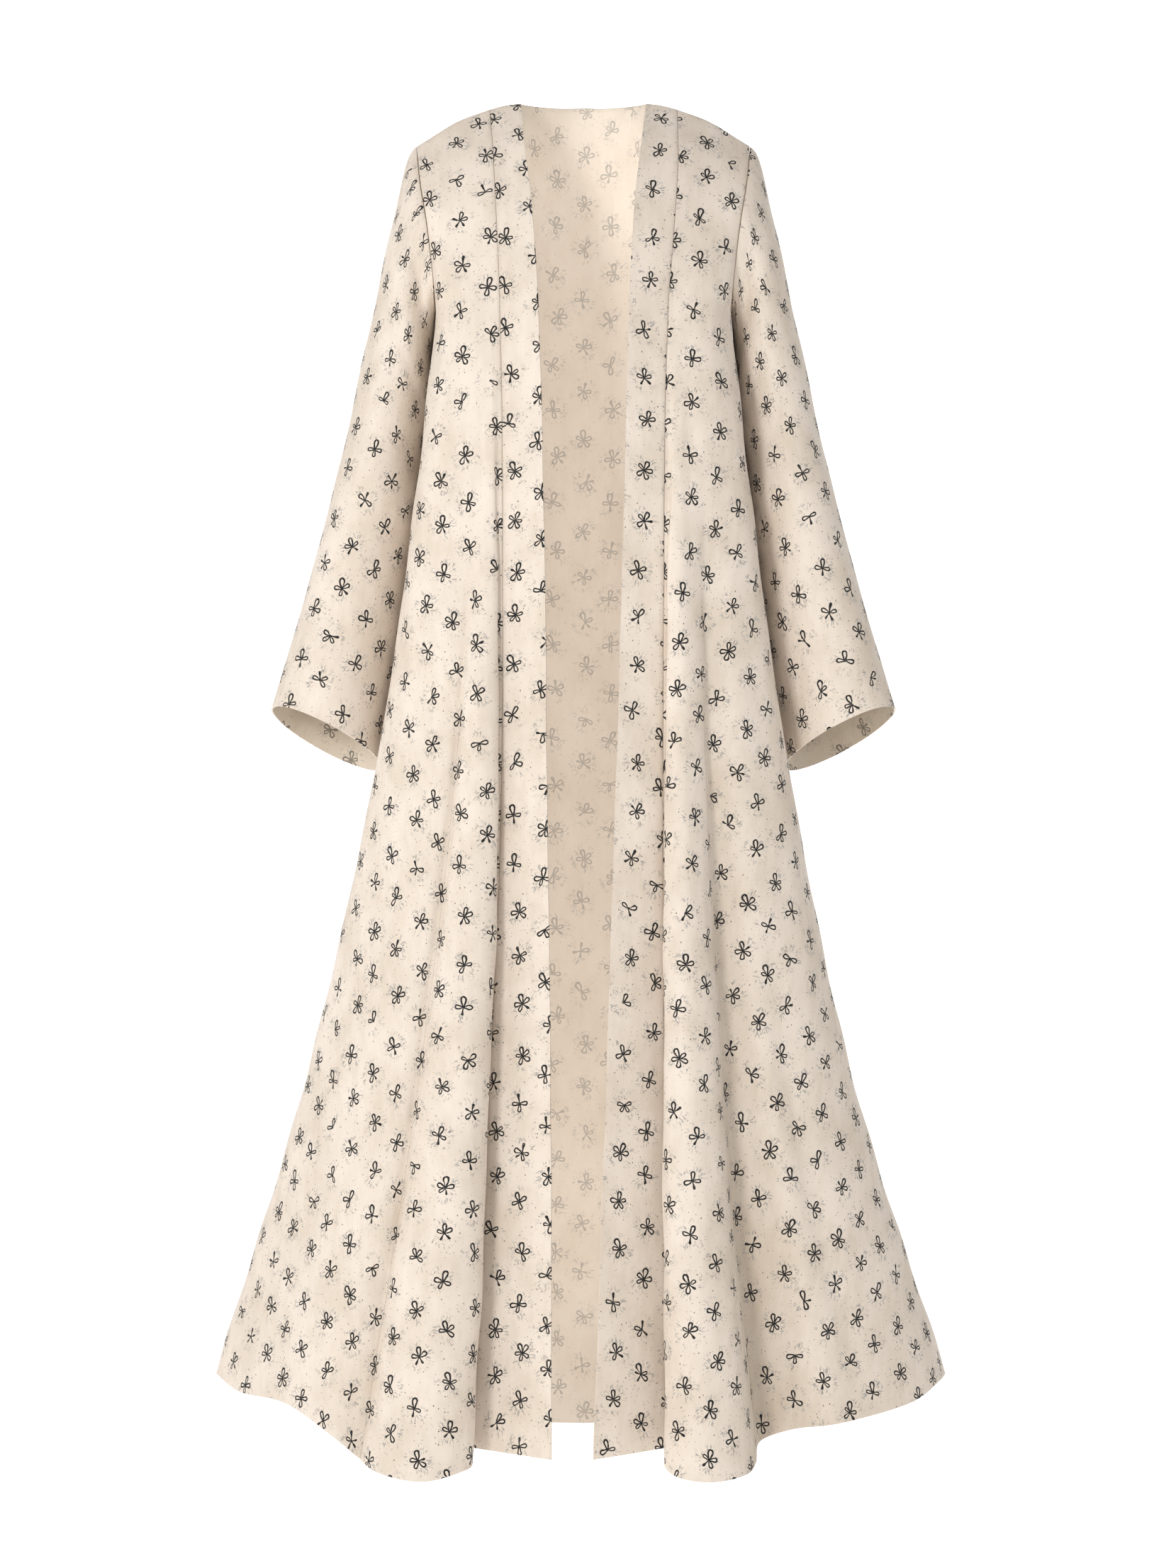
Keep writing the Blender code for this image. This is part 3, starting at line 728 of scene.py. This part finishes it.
left = cloth_half("left", FOLDS_FRONT_LEFT, FOLDS_BACK_LEFT, CREASES_FRONT_LEFT)
right = cloth_half("right", FOLDS_FRONT_RIGHT, FOLDS_BACK_RIGHT, CREASES_FRONT_RIGHT)
print({part: parts[0].shape[:2] for part, parts in left.items()})

# %% [markdown]
# ## The print, as arithmetic
#
# The cloth is printed with small flowers, each drawn as four or five loops of ink, with now
# and then a plain stroke in place of a loop. A shader can draw that without any picture: it
# asks of every point how far it lies from the nearest line. Written with nodes alone such a
# sum is hard to read, so this small class turns ordinary Python operators into Math nodes.

# %% Sums that become nodes


class Number:
    """A number in a shader, on which ordinary arithmetic makes Math nodes."""

    def __init__(self, tree, socket):
        self.tree, self.socket = tree, socket

    def math(self, operation, *others):
        node = self.tree.nodes.new("ShaderNodeMath")
        node.operation = operation
        for socket, term in zip(node.inputs, (self, *others)):
            plug(self.tree, socket, term)
        return Number(self.tree, node.outputs[0])

    def __add__(self, other):
        return self.math("ADD", other)

    def __sub__(self, other):
        return self.math("SUBTRACT", other)

    def __mul__(self, other):
        return self.math("MULTIPLY", other)

    def __truediv__(self, other):
        return self.math("DIVIDE", other)

    def floor(self):
        return self.math("FLOOR")

    def root(self):
        return self.math("SQRT")

    def over(self, low):
        """1 where the number is more than low, else 0."""
        return self.math("GREATER_THAN", low)

    def most(self, other):
        return self.math("MAXIMUM", other)

    def ramp(self, start, end, low=0.0, high=1.0):
        """Rises smoothly from low at start to high at end."""
        node = self.tree.nodes.new("ShaderNodeMapRange")
        node.interpolation_type = "SMOOTHSTEP"
        for name, term in (
            ("Value", self),
            ("From Min", start),
            ("From Max", end),
            ("To Min", low),
            ("To Max", high),
        ):
            plug(self.tree, node.inputs[name], term)
        return Number(self.tree, node.outputs["Result"])


def plug(tree, socket, term):
    """Links a number to a socket, or sets the socket to it."""
    if isinstance(term, Number):
        tree.links.new(term.socket, socket)
    else:
        socket.default_value = term


def vector(tree, x, y, z=0.0):
    node = tree.nodes.new("ShaderNodeCombineXYZ")
    for socket, term in zip(node.inputs, (x, y, z)):
        plug(tree, socket, term)
    return Number(tree, node.outputs[0])


def chances(tree, x, y, z):
    """Four random numbers from 0 to 1 that depend on x, y and z alone."""
    node = tree.nodes.new("ShaderNodeTexWhiteNoise")
    node.noise_dimensions = "3D"
    plug(tree, node.inputs["Vector"], vector(tree, x, y, z))
    parts = tree.nodes.new("ShaderNodeSeparateColor")
    tree.links.new(node.outputs["Color"], parts.inputs[0])
    return [Number(tree, socket) for socket in (*parts.outputs, node.outputs["Value"])]


def noise(tree, place, scale, detail):
    """Soft noise around 0.5 at a place given as a vector."""
    node = tree.nodes.new("ShaderNodeTexNoise")
    node.inputs["Scale"].default_value = scale
    node.inputs["Detail"].default_value = detail
    plug(tree, node.inputs["Vector"], place)
    return Number(tree, node.outputs["Fac"])


def cloud(tree, x, y, scale, detail=2.0, z=0.0):
    """Soft noise with this many blotches to a metre."""
    return noise(tree, vector(tree, x, y, z), scale, detail)


# %% [markdown]
# ## One flower
#
# Textile printers repeat a motif in half drop: every second column is shifted down by half a
# step. Two plain grids, one moved by half a cell both ways, give exactly that. Each cell
# draws one flower, shifted and turned at random so that the cloth looks hand drawn.
#
# Around the middle of a flower the plane is cut into four or five equal sectors, and the
# first of them points up the cloth, give or take. Inside a sector only one arm has to be
# drawn: either a loop, which is an ellipse that narrows towards the middle, or a stroke that
# ends in a blob of ink. Around the arms stand short pale strokes, as from a nearly dry pen.

# %% Flower group
PITCH_U, PITCH_V = 0.062, 0.050  # a column every 31 mm, and a flower every 50 mm down it
STRAY, TILT = 0.008, 0.15  # metres, and a share of a whole turn
LOOP_MIDDLE, LOOP_LONG, LOOP_WIDE = 0.0046, 0.0038, 0.0023
STROKE = 0.0072  # how far a plain stroke reaches
LINE = 0.00080  # half the width of the pen
SPECKS = table(
    "scatter smallest largest missing layer",
    (165.0, 0.42, 0.72, 0.10, 0.0),  # points to a metre, radii in millimetres
    (290.0, 0.28, 0.46, 0.40, 8.2),
)


def flowers(tree, u, v, seed):
    """The ink of one grid of flowers, and the pale strokes around them."""
    across, down = u / PITCH_U, v / PITCH_V
    column, row = across.floor(), down.floor()
    shift_u, shift_v, spin, kind = chances(tree, column, row, seed)
    x = (across - column - 0.5) * PITCH_U - (shift_u - 0.5) * STRAY
    y = (down - row - 0.5) * PITCH_V - (shift_v - 0.5) * STRAY
    far = (x * x + y * y).root()

    # The first arm points up the cloth, and is the longest.
    arms = kind.over(0.35) + 4.0
    heading = (spin - 0.5) * TILT + 0.25
    turn = (y.math("ARCTAN2", x) / (2 * np.pi) + heading) * arms
    arm = (turn + 0.5).floor()
    which = arm.math("FLOORED_MODULO", arms)
    upright = (which * -1.0 + 1.0).over(0.5)
    sideways = ((which * (which - arms)).math("ABSOLUTE") * -1.0 + arms).over(0.5)
    size, is_loop, present, lean = chances(tree, column + which * 17.3, row, seed + 5.0)
    angle = (turn - arm) / arms * (2 * np.pi) + (lean - 0.5) * 0.40
    scale = size * 0.24 + upright * 0.22 + 0.86
    along = far * angle.math("COSINE") / scale
    beside = far * angle.math("SINE") / scale

    breadth = (along.most(0.0) * 110.0 + 0.12) * (lean * 0.0007 + LOOP_WIDE - 0.0004)
    long_part = (along - LOOP_MIDDLE) / LOOP_LONG
    wide_part = beside / breadth
    slope = (long_part / LOOP_LONG).math("POWER", 2.0) + (wide_part / breadth).math("POWER", 2.0)
    outside = (long_part * long_part + wide_part * wide_part - 1.0).math("ABSOLUTE")
    off_loop = outside / (slope.root() * 2.0 + 1e-6)
    loop = off_loop.ramp(LINE * 0.75, LINE * 1.15, 1.0, 0.0)

    past = (along - STROKE).most(0.0)
    off_stroke = (past * past + beside * beside).root()
    pen = along.ramp(0.002, STROKE, LINE * 0.8, LINE * 1.7)
    stroke = (off_stroke / pen).ramp(0.75, 1.2, 1.0, 0.0)

    chosen = (is_loop + sideways * 0.22).over(0.34)
    ink = (loop * chosen + stroke * (chosen * -1.0 + 1.0)) * present.over(0.05)
    knot = far.ramp(LINE, LINE * 2.4, 1.0, 0.0)

    # Noise that changes quickly around the flower and slowly away from it looks like rays.
    around = vector(tree, x / far * 2.4 + column, y / far * 2.4 + row, far * 75.0)
    ray = noise(tree, around, 3.4, 1.0)
    ring = far.ramp(0.0055, 0.0085) * far.ramp(0.0125, 0.0185, 1.0, 0.0)
    return ink.most(knot), ray.ramp(0.52, 0.60) * ring


def print_group():
    tree = bpy.data.node_groups.new("flower print", "ShaderNodeTree")
    tree.interface.new_socket("UV", in_out="INPUT", socket_type="NodeSocketVector")
    for name in ("Ink", "Smudge", "Specks"):
        tree.interface.new_socket(name, in_out="OUTPUT", socket_type="NodeSocketFloat")
    inlet = tree.nodes.new("NodeGroupInput")
    outlet = tree.nodes.new("NodeGroupOutput")
    parts = tree.nodes.new("ShaderNodeSeparateXYZ")
    tree.links.new(inlet.outputs["UV"], parts.inputs[0])
    u, v = Number(tree, parts.outputs[0]), Number(tree, parts.outputs[1])

    # A pen never draws quite the same line twice, so the plane itself wavers a little.
    wander_u = (cloud(tree, u, v, 240.0) - 0.5) * 0.0014 + u
    wander_v = (cloud(tree, u, v, 240.0, z=3.7) - 0.5) * 0.0014 + v
    first = Number(tree, constant(tree, 1.0))
    second = Number(tree, constant(tree, 2.0))
    ink_a, rays_a = flowers(tree, wander_u, wander_v, first)
    ink_b, rays_b = flowers(tree, wander_u + PITCH_U / 2, wander_v + PITCH_V / 2, second)
    uneven = cloud(tree, u, v, 420.0, 3.0).ramp(0.25, 0.5, 0.85, 1.0)
    ink = ink_a.most(ink_b) * uneven
    patch = cloud(tree, u, v, 80.0, 1.0, z=5.1).ramp(0.40, 0.58)
    smudge = rays_a.most(rays_b) * patch

    # Specks are the nearest points of a scatter, each with a size of its own.
    specks = None
    for scale, smallest, largest, missing, layer in zip(*SPECKS.values()):
        scatter = tree.nodes.new("ShaderNodeTexVoronoi")
        scatter.inputs["Scale"].default_value = scale
        plug(tree, scatter.inputs["Vector"], vector(tree, u, v * 0.8, layer))
        colour = tree.nodes.new("ShaderNodeSeparateColor")
        tree.links.new(scatter.outputs["Color"], colour.inputs[0])
        size, shown = Number(tree, colour.outputs[0]), Number(tree, colour.outputs[1])
        radius = (size * (largest - smallest) + smallest) * (0.001 * scale)
        spot = (Number(tree, scatter.outputs["Distance"]) / radius).ramp(0.7, 1.25, 1.0, 0.0)
        spot = spot * shown.over(missing)
        specks = spot if specks is None else specks.most(spot)
    for name, number in (("Ink", ink), ("Smudge", smudge), ("Specks", specks)):
        tree.links.new(number.socket, outlet.inputs[name])
    return tree


def constant(tree, number):
    node = tree.nodes.new("ShaderNodeValue")
    node.outputs[0].default_value = number
    return node.outputs[0]


flower_print = print_group()
print("nodes in the print:", len(flower_print.nodes))

# %% [markdown]
# ## Cotton
#
# Unbleached cotton is a warm cream that is never quite even. It is dull, with a faint sheen of
# fibre ends at grazing angles. Its weave is finer than a millimetre, and now and then a thicker
# thread, a slub, runs through it. The wrong side of a printed cloth is duller, and the ink shows
# through only as a shadow. Its ground is painted a little lighter than the right side's, as
# painted light for the shaded inside of the body. Inside the sleeves the ink shows more, because
# the cloth there is seen from close to its edge, and the ground is painted darker, as painted
# shade. So one function makes three materials: the right side, and a lit and a shaded copy of the
# wrong side.
#
# Light that has bounced about in a recess comes back browner, and the thread and the shadow of a
# seam read as a thin line. Both are painted over the cloth with the measures taken above: a brown
# painted shade in the recesses, and a seam line that is partly thread and partly painted shade.

# %% Cloth materials
INK, PALE_INK, DRY_INK = (0.010, 0.011, 0.013), (0.24, 0.225, 0.21), (0.30, 0.285, 0.27)
# The last two colours paint shade: a seam's thread with its painted shade, and the brown painted
# shade of a recess.
SPECK, SEAM_THREAD_AND_SHADE, PAINTED_RECESS_SHADE = (0.12, 0.095, 0.078), (0.23, 0.165, 0.11), (0.22, 0.14, 0.05)
THREAD = 0.0007  # from one thread to the next but one


def mixed(tree, amount, first, second):
    """A mix of two colours, each a link or a plain colour."""
    node = tree.nodes.new("ShaderNodeMix")
    node.data_type = "RGBA"
    plug(tree, node.inputs["Factor"], amount)
    for name, colour in (("A", first), ("B", second)):
        socket = next(s for s in node.inputs if s.name == name and s.type == "RGBA")
        if isinstance(colour, tuple):
            socket.default_value = (*colour, 1)
        else:
            tree.links.new(colour, socket)
    return next(s for s in node.outputs if s.type == "RGBA")


def measured(tree, name):
    """A measure that the mesh carries at each of its points."""
    node = tree.nodes.new("ShaderNodeAttribute")
    node.attribute_name = name
    return Number(tree, node.outputs["Fac"])


def cotton(name, light, deep, ink_colour, ink_strength, speck_strength):
    """Printed cotton seen from one side. Its UV map is in metres of flat cloth."""
    material = bpy.data.materials.new(name)
    material.use_nodes = True
    tree = material.node_tree
    shader = tree.nodes["Principled BSDF"]
    uv = tree.nodes.new("ShaderNodeUVMap")
    uv.uv_map = "cut"
    parts = tree.nodes.new("ShaderNodeSeparateXYZ")
    tree.links.new(uv.outputs[0], parts.inputs[0])
    u, v = Number(tree, parts.outputs[0]), Number(tree, parts.outputs[1])
    printed = tree.nodes.new("ShaderNodeGroup")
    printed.node_tree = flower_print
    tree.links.new(uv.outputs[0], printed.inputs[0])
    ink, smudge, specks = (Number(tree, socket) for socket in printed.outputs)

    blotches = cloud(tree, u * 1.2, v * 0.8, 16.0, 4.0)
    streaks = cloud(tree, u * 2.0, v * 0.7, 60.0, 3.0, z=2.3)
    grain = cloud(tree, u, v, 900.0, 2.0, z=4.9)
    tone = (blotches * 0.60 + streaks * 0.25 + grain * 0.15).ramp(0.36, 0.68)
    cloth = mixed(tree, tone, light, deep)
    # The seam line is partly thread and partly painted shade, in the groove beside a seam and
    # along the valley line.
    to_seam = measured(tree, "to_seam")
    seam_thread_and_shade = to_seam.ramp(0.0001, 0.0008, 0.34, 0.0) + to_seam.ramp(0.0, 0.006, 0.08, 0.0)
    cloth = mixed(tree, seam_thread_and_shade, cloth, SEAM_THREAD_AND_SHADE)
    # Painted shade: the recesses between folds are browned.
    cloth = mixed(tree, measured(tree, "painted_recess_shade") * 0.30, cloth, PAINTED_RECESS_SHADE)
    cloth = mixed(tree, smudge * (0.75 * ink_strength), cloth, DRY_INK)
    cloth = mixed(tree, specks * speck_strength, cloth, SPECK)
    cloth = mixed(tree, ink * ink_strength, cloth, ink_colour)
    tree.links.new(cloth, shader.inputs["Base Color"])
    tree.links.new(grain.ramp(0.3, 0.7, 0.86, 0.97).socket, shader.inputs["Roughness"])
    shader.inputs["Sheen Weight"].default_value = 0.12
    shader.inputs["Sheen Roughness"].default_value = 0.45
    shader.inputs["Specular IOR Level"].default_value = 0.25

    # Height, in millimetres: threads, slubs, and the softest of wrinkles.
    thread_u = (u * (2 * np.pi / THREAD)).math("SINE")
    thread_v = (v * (2 * np.pi / THREAD)).math("SINE")
    slub_u = cloud(tree, u * 1.0, v * 14.0, 60.0, 1.0, z=1.1).ramp(0.60, 0.74)
    slub_v = cloud(tree, u * 14.0, v * 1.0, 60.0, 1.0, z=6.4).ramp(0.60, 0.74)
    wrinkle = cloud(tree, u, v * 0.8, 26.0, 3.0, z=9.7)
    height = (
        thread_u * thread_v * 0.035 + (slub_u + slub_v) * 0.08 + grain * 0.08 + wrinkle * 1.3
    )
    bump = tree.nodes.new("ShaderNodeBump")
    bump.inputs["Strength"].default_value = 0.55
    bump.inputs["Distance"].default_value = 0.001
    tree.links.new(height.socket, bump.inputs["Height"])
    tree.links.new(bump.outputs[0], shader.inputs["Normal"])
    return material


right_side = cotton(
    "cotton_right_side", (0.80, 0.705, 0.61), (0.68, 0.58, 0.475), INK, 0.99, 0.90
)
# Painted light: the wrong side's ground is lighter than the right side's, for the shaded inside
# of the body.
wrong_side_painted_light = cotton(
    "cotton_wrong_side_painted_light", (0.82, 0.735, 0.635), (0.76, 0.665, 0.56), PALE_INK, 0.50, 0.25
)
# Painted shade: inside the sleeves the ground is darker.
sleeve_inside_painted_shade = cotton(
    "cotton_sleeve_inside_painted_shade", (0.74, 0.65, 0.535), (0.66, 0.565, 0.45), INK, 0.66, 0.45
)
print("materials:", right_side.name, wrong_side_painted_light.name, sleeve_inside_painted_shade.name)

# %% [markdown]
# ## From grid to cloth
#
# A grid becomes a closed wall: an outer sheet, an inner sheet, and a narrow strip around
# each free edge. The inner sheet stands a little further in near the hem, the cuff and the
# front edge, where the real cloth is turned up and lies double.
#
# The UV map holds the flat pattern in metres. Across comes from the distance along a row, and
# down is what is left of each downward step once that is taken off. The print then runs with
# the grain of the cloth, and nothing stretches.

# %% Build a piece
TURNED_UP, TURN_WIDTH = 0.0006, 0.022


def flat_pattern(grid, origin_column):
    """Each point's place on the flat piece of cloth, in metres."""
    u = distances(grid, 1)
    u = u - u[:, origin_column : origin_column + 1]
    step = np.linalg.norm(np.diff(grid, axis=0), axis=2)
    down = np.sqrt(np.clip(step**2 - np.diff(u, axis=0) ** 2, 0, None))
    v = -grid[:1, :, 2] + np.concatenate([0 * down[:1], np.cumsum(down, axis=0)])
    return np.stack([u, v], axis=2)


def quads(index):
    """The faces of a grid of point numbers."""
    corners = index[:-1, :-1], index[1:, :-1], index[1:, 1:], index[:-1, 1:]
    return np.stack([corner.ravel() for corner in corners], axis=1)


def add_cloth(name, node, sewn, pattern, turned, inside=wrong_side_painted_light, ring=False):
    """A closed wall of cloth on the grid. Turned is how much thicker each point is inside."""
    grid, normals, to_seam, painted_recess_shade = sewn
    points = np.stack(
        [grid + normals * WALL / 2, grid - normals * (WALL / 2 + turned[..., None])]
    )
    index = np.arange(2 * grid[..., 0].size).reshape(2, *grid.shape[:2])
    if ring:
        index = np.concatenate([index, index[:, :, :1]], axis=2)
    flat = np.arange(pattern[..., 0].size).reshape(pattern.shape[:2])
    strips = [(index[0], flat), (index[1, :, ::-1], flat[:, ::-1])]
    strips.append((index[::-1, 0], flat[[0, 0]]))
    strips.append((index[:, -1], flat[[-1, -1]]))
    if not ring:
        strips.append((index[::-1, :, 0].T, flat[:, [0, 0]]))
        strips.append((index[:, :, -1].T, flat[:, [-1, -1]]))
    faces = np.concatenate([quads(points_of) for points_of, flat_of in strips])
    corners = np.concatenate([quads(flat_of) for points_of, flat_of in strips])
    mesh = bpy.data.meshes.new(name)
    mesh.from_pydata(points.reshape(-1, 3).tolist(), [], faces.tolist())
    layer = mesh.uv_layers.new(name="cut")
    layer.uv.foreach_set("vector", pattern.reshape(-1, 2)[corners.ravel()].ravel())
    slots = np.zeros(len(faces), int)
    slots[len(quads(index[0])) : 2 * len(quads(index[0]))] = 1
    mesh.polygons.foreach_set("material_index", slots)
    # Both measures go onto the mesh: distance to a seam for the painted seam line, depth in a
    # recess for painted shade.
    for key, values in (("to_seam", to_seam), ("painted_recess_shade", painted_recess_shade)):
        attribute = mesh.attributes.new(key, "FLOAT", "POINT")
        attribute.data.foreach_set("value", np.tile(values.ravel(), 2))
    wall = bmesh.new()
    wall.from_mesh(mesh)
    bmesh.ops.recalc_face_normals(wall, faces=wall.faces)
    wall.to_mesh(mesh)
    wall.free()
    mesh.shade_smooth()
    mesh.set_sharp_from_angle(angle=np.radians(50))
    mesh.materials.append(right_side)
    mesh.materials.append(inside)
    piece = bpy.data.objects.new(name, mesh)
    bpy.context.scene.collection.objects.link(piece)
    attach(piece, "root")
    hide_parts(node)
    mesh.calc_loop_triangles()
    wide = np.ptp(pattern[..., 0], axis=1).max()
    print(
        f"{name}: {len(mesh.loop_triangles)} triangles, {wide:.3f} m wide flat, "
        f"{np.ptp(pattern[..., 1]):.3f} m long, {sum(p.area for p in mesh.polygons) / 2:.3f} m2"
    )
    return piece


def turned_along(grid, *edges):
    """How much thicker the cloth is where these edges are turned up."""
    return TURNED_UP * np.clip((TURN_WIDTH - nearest(grid, *edges)) / 0.002, 0, 1)


# %% [markdown]
# ## Cut and sew
#
# The right side is mirrored from its own tables. Its pattern is mirrored back, so that no
# flower is the mirror image of one on the left. Each piece is cut from its own place on the
# bolt, which is why the print doesn't run on across a seam.

# %% Make the seven pieces
MIRROR = (-1, 1, 1)
BOLT = {"front_left": (3.07, 0.0), "front_right": (5.31, 0.9), "band_left": (7.7, 0.3)}
BOLT.update({"band_right": (8.93, 1.7), "sleeve_left": (10.4, 0.6), "sleeve_right": (12.2, 1.2)})
for side, half in (("left", left), ("right", right)):
    for part in ("front", "band", "sleeve"):
        node = f"{part}_{side}"
        sewn = list(half[part])
        origin, inside = 0, wrong_side_painted_light
        if part == "sleeve":
            # The sleeve is opened along its underarm seam.
            origin, inside = sewn[0].shape[1] // 2, sleeve_inside_painted_shade
            sewn = [np.roll(values, origin, axis=1) for values in sewn]
            closed = np.concatenate([sewn[0], sewn[0][:, :1]], axis=1)
            sewn[2] = np.minimum(sewn[2], nearest(closed, "first", "last")[:, :-1])
            pattern = flat_pattern(closed, origin)
        else:
            pattern = flat_pattern(sewn[0], origin)
        turned = turned_along(sewn[0], *(("hem", "first") if part == "band" else ("hem",)))
        if side == "right":
            sewn[0], sewn[1], pattern = sewn[0] * MIRROR, sewn[1] * MIRROR, pattern * (-1, 1)
        add_cloth(
            f"{node}_cloth",
            node,
            sewn,
            pattern + BOLT[node],
            turned,
            inside,
            ring=part == "sleeve",
        )
mirrored_back = [values * flip for values, flip in zip(right["back"], (MIRROR, MIRROR, 1, 1))]
sewn = [
    np.concatenate([one[:, :0:-1], other], axis=1)
    for one, other in zip(mirrored_back, left["back"])
]
pattern = flat_pattern(sewn[0], mirrored_back[0].shape[1] - 1)
turned = turned_along(sewn[0], "hem")
add_cloth("back_cloth", "back", sewn, pattern, turned)

# %% [markdown]
# ## What each sheet was cut to
#
# Every piece is a sheet of cloth that was flat once. Its flat width and length come from the
# pattern above, and are printed as each piece is made. Its area is less than their product,
# because a flared panel is cut as a wedge.

# %% [markdown]
# ## Studio
#
# The main light stands in front and to the left, so the right side of each flute falls into
# shade. A weaker one further round, one above and a pale world fill the shadows. A hollow
# garment swallows light, so a long narrow lamp hangs inside it, faces the back panel, and is
# itself not seen. A pale floor runs back and curves up into a wall, as a photographer's paper
# does, so no line shows behind the garment.

# %% Floor, lights and world
FLOOR_Z = -1.49


def studio_paper():
    """A floor that curves up into a wall."""
    turn = np.linspace(0, np.pi / 2, 25)
    bend = 1.5
    profile = [(-7.0, 0.0), (-2.0, 0.0)] + [
        (3.0 + bend * np.sin(a), bend * (1 - np.cos(a))) for a in turn
    ]
    profile.append((3.0 + bend, 6.0))
    vertices = [(x, y, FLOOR_Z + z) for y, z in profile for x in (-7.0, 7.0)]
    faces = [(2 * k, 2 * k + 1, 2 * k + 3, 2 * k + 2) for k in range(len(profile) - 1)]
    mesh = bpy.data.meshes.new("studio_paper")
    mesh.from_pydata(vertices, [], faces)
    mesh.shade_smooth()
    material = bpy.data.materials.new("paper")
    material.use_nodes = True
    shader = material.node_tree.nodes["Principled BSDF"]
    shader.inputs["Base Color"].default_value = (0.90, 0.90, 0.90, 1)
    shader.inputs["Roughness"].default_value = 0.95
    shader.inputs["Emission Color"].default_value = (1, 1, 1, 1)
    shader.inputs["Emission Strength"].default_value = 0.62
    mesh.materials.append(material)
    paper = bpy.data.objects.new("studio_paper", mesh)
    bpy.context.scene.collection.objects.link(paper)


def soft_box(name, place, aim, size, watts):
    light = bpy.data.lights.new(name, "AREA")
    light.shape = "RECTANGLE"
    light.size, light.size_y = size
    light.energy = watts
    lamp = bpy.data.objects.new(name, light)
    lamp.location = place
    lamp.visible_camera = False
    back = unit(np.array(place, float) - np.array(aim, float))
    pitch, heading = np.arccos(back[2]), np.arctan2(back[1], back[0])
    lamp.rotation_euler = (pitch, 0, heading + np.pi / 2)
    bpy.context.scene.collection.objects.link(lamp)


studio_paper()
soft_box("key", (-2.1, -4.3, 0.3), (0, 0, -0.7), (1.0, 1.0), 84)
soft_box("side", (-2.8, -1.6, 0.6), (0, 0, -0.7), (1.6, 1.6), 12)
soft_box("top", (0.0, -0.9, 2.2), (0, 0, -0.5), (2.0, 2.0), 6)
soft_box("inside", (0.0, -0.01, -0.66), (0, 0.1, -0.66), (0.14, 1.25), 0.46)
world = bpy.data.worlds.new("studio")
world.use_nodes = True
world.node_tree.nodes["Background"].inputs["Color"].default_value = (1, 1, 1, 1)
world.node_tree.nodes["Background"].inputs["Strength"].default_value = 0.44
bpy.context.scene.world = world
bpy.context.scene.view_settings.view_transform = "Standard"
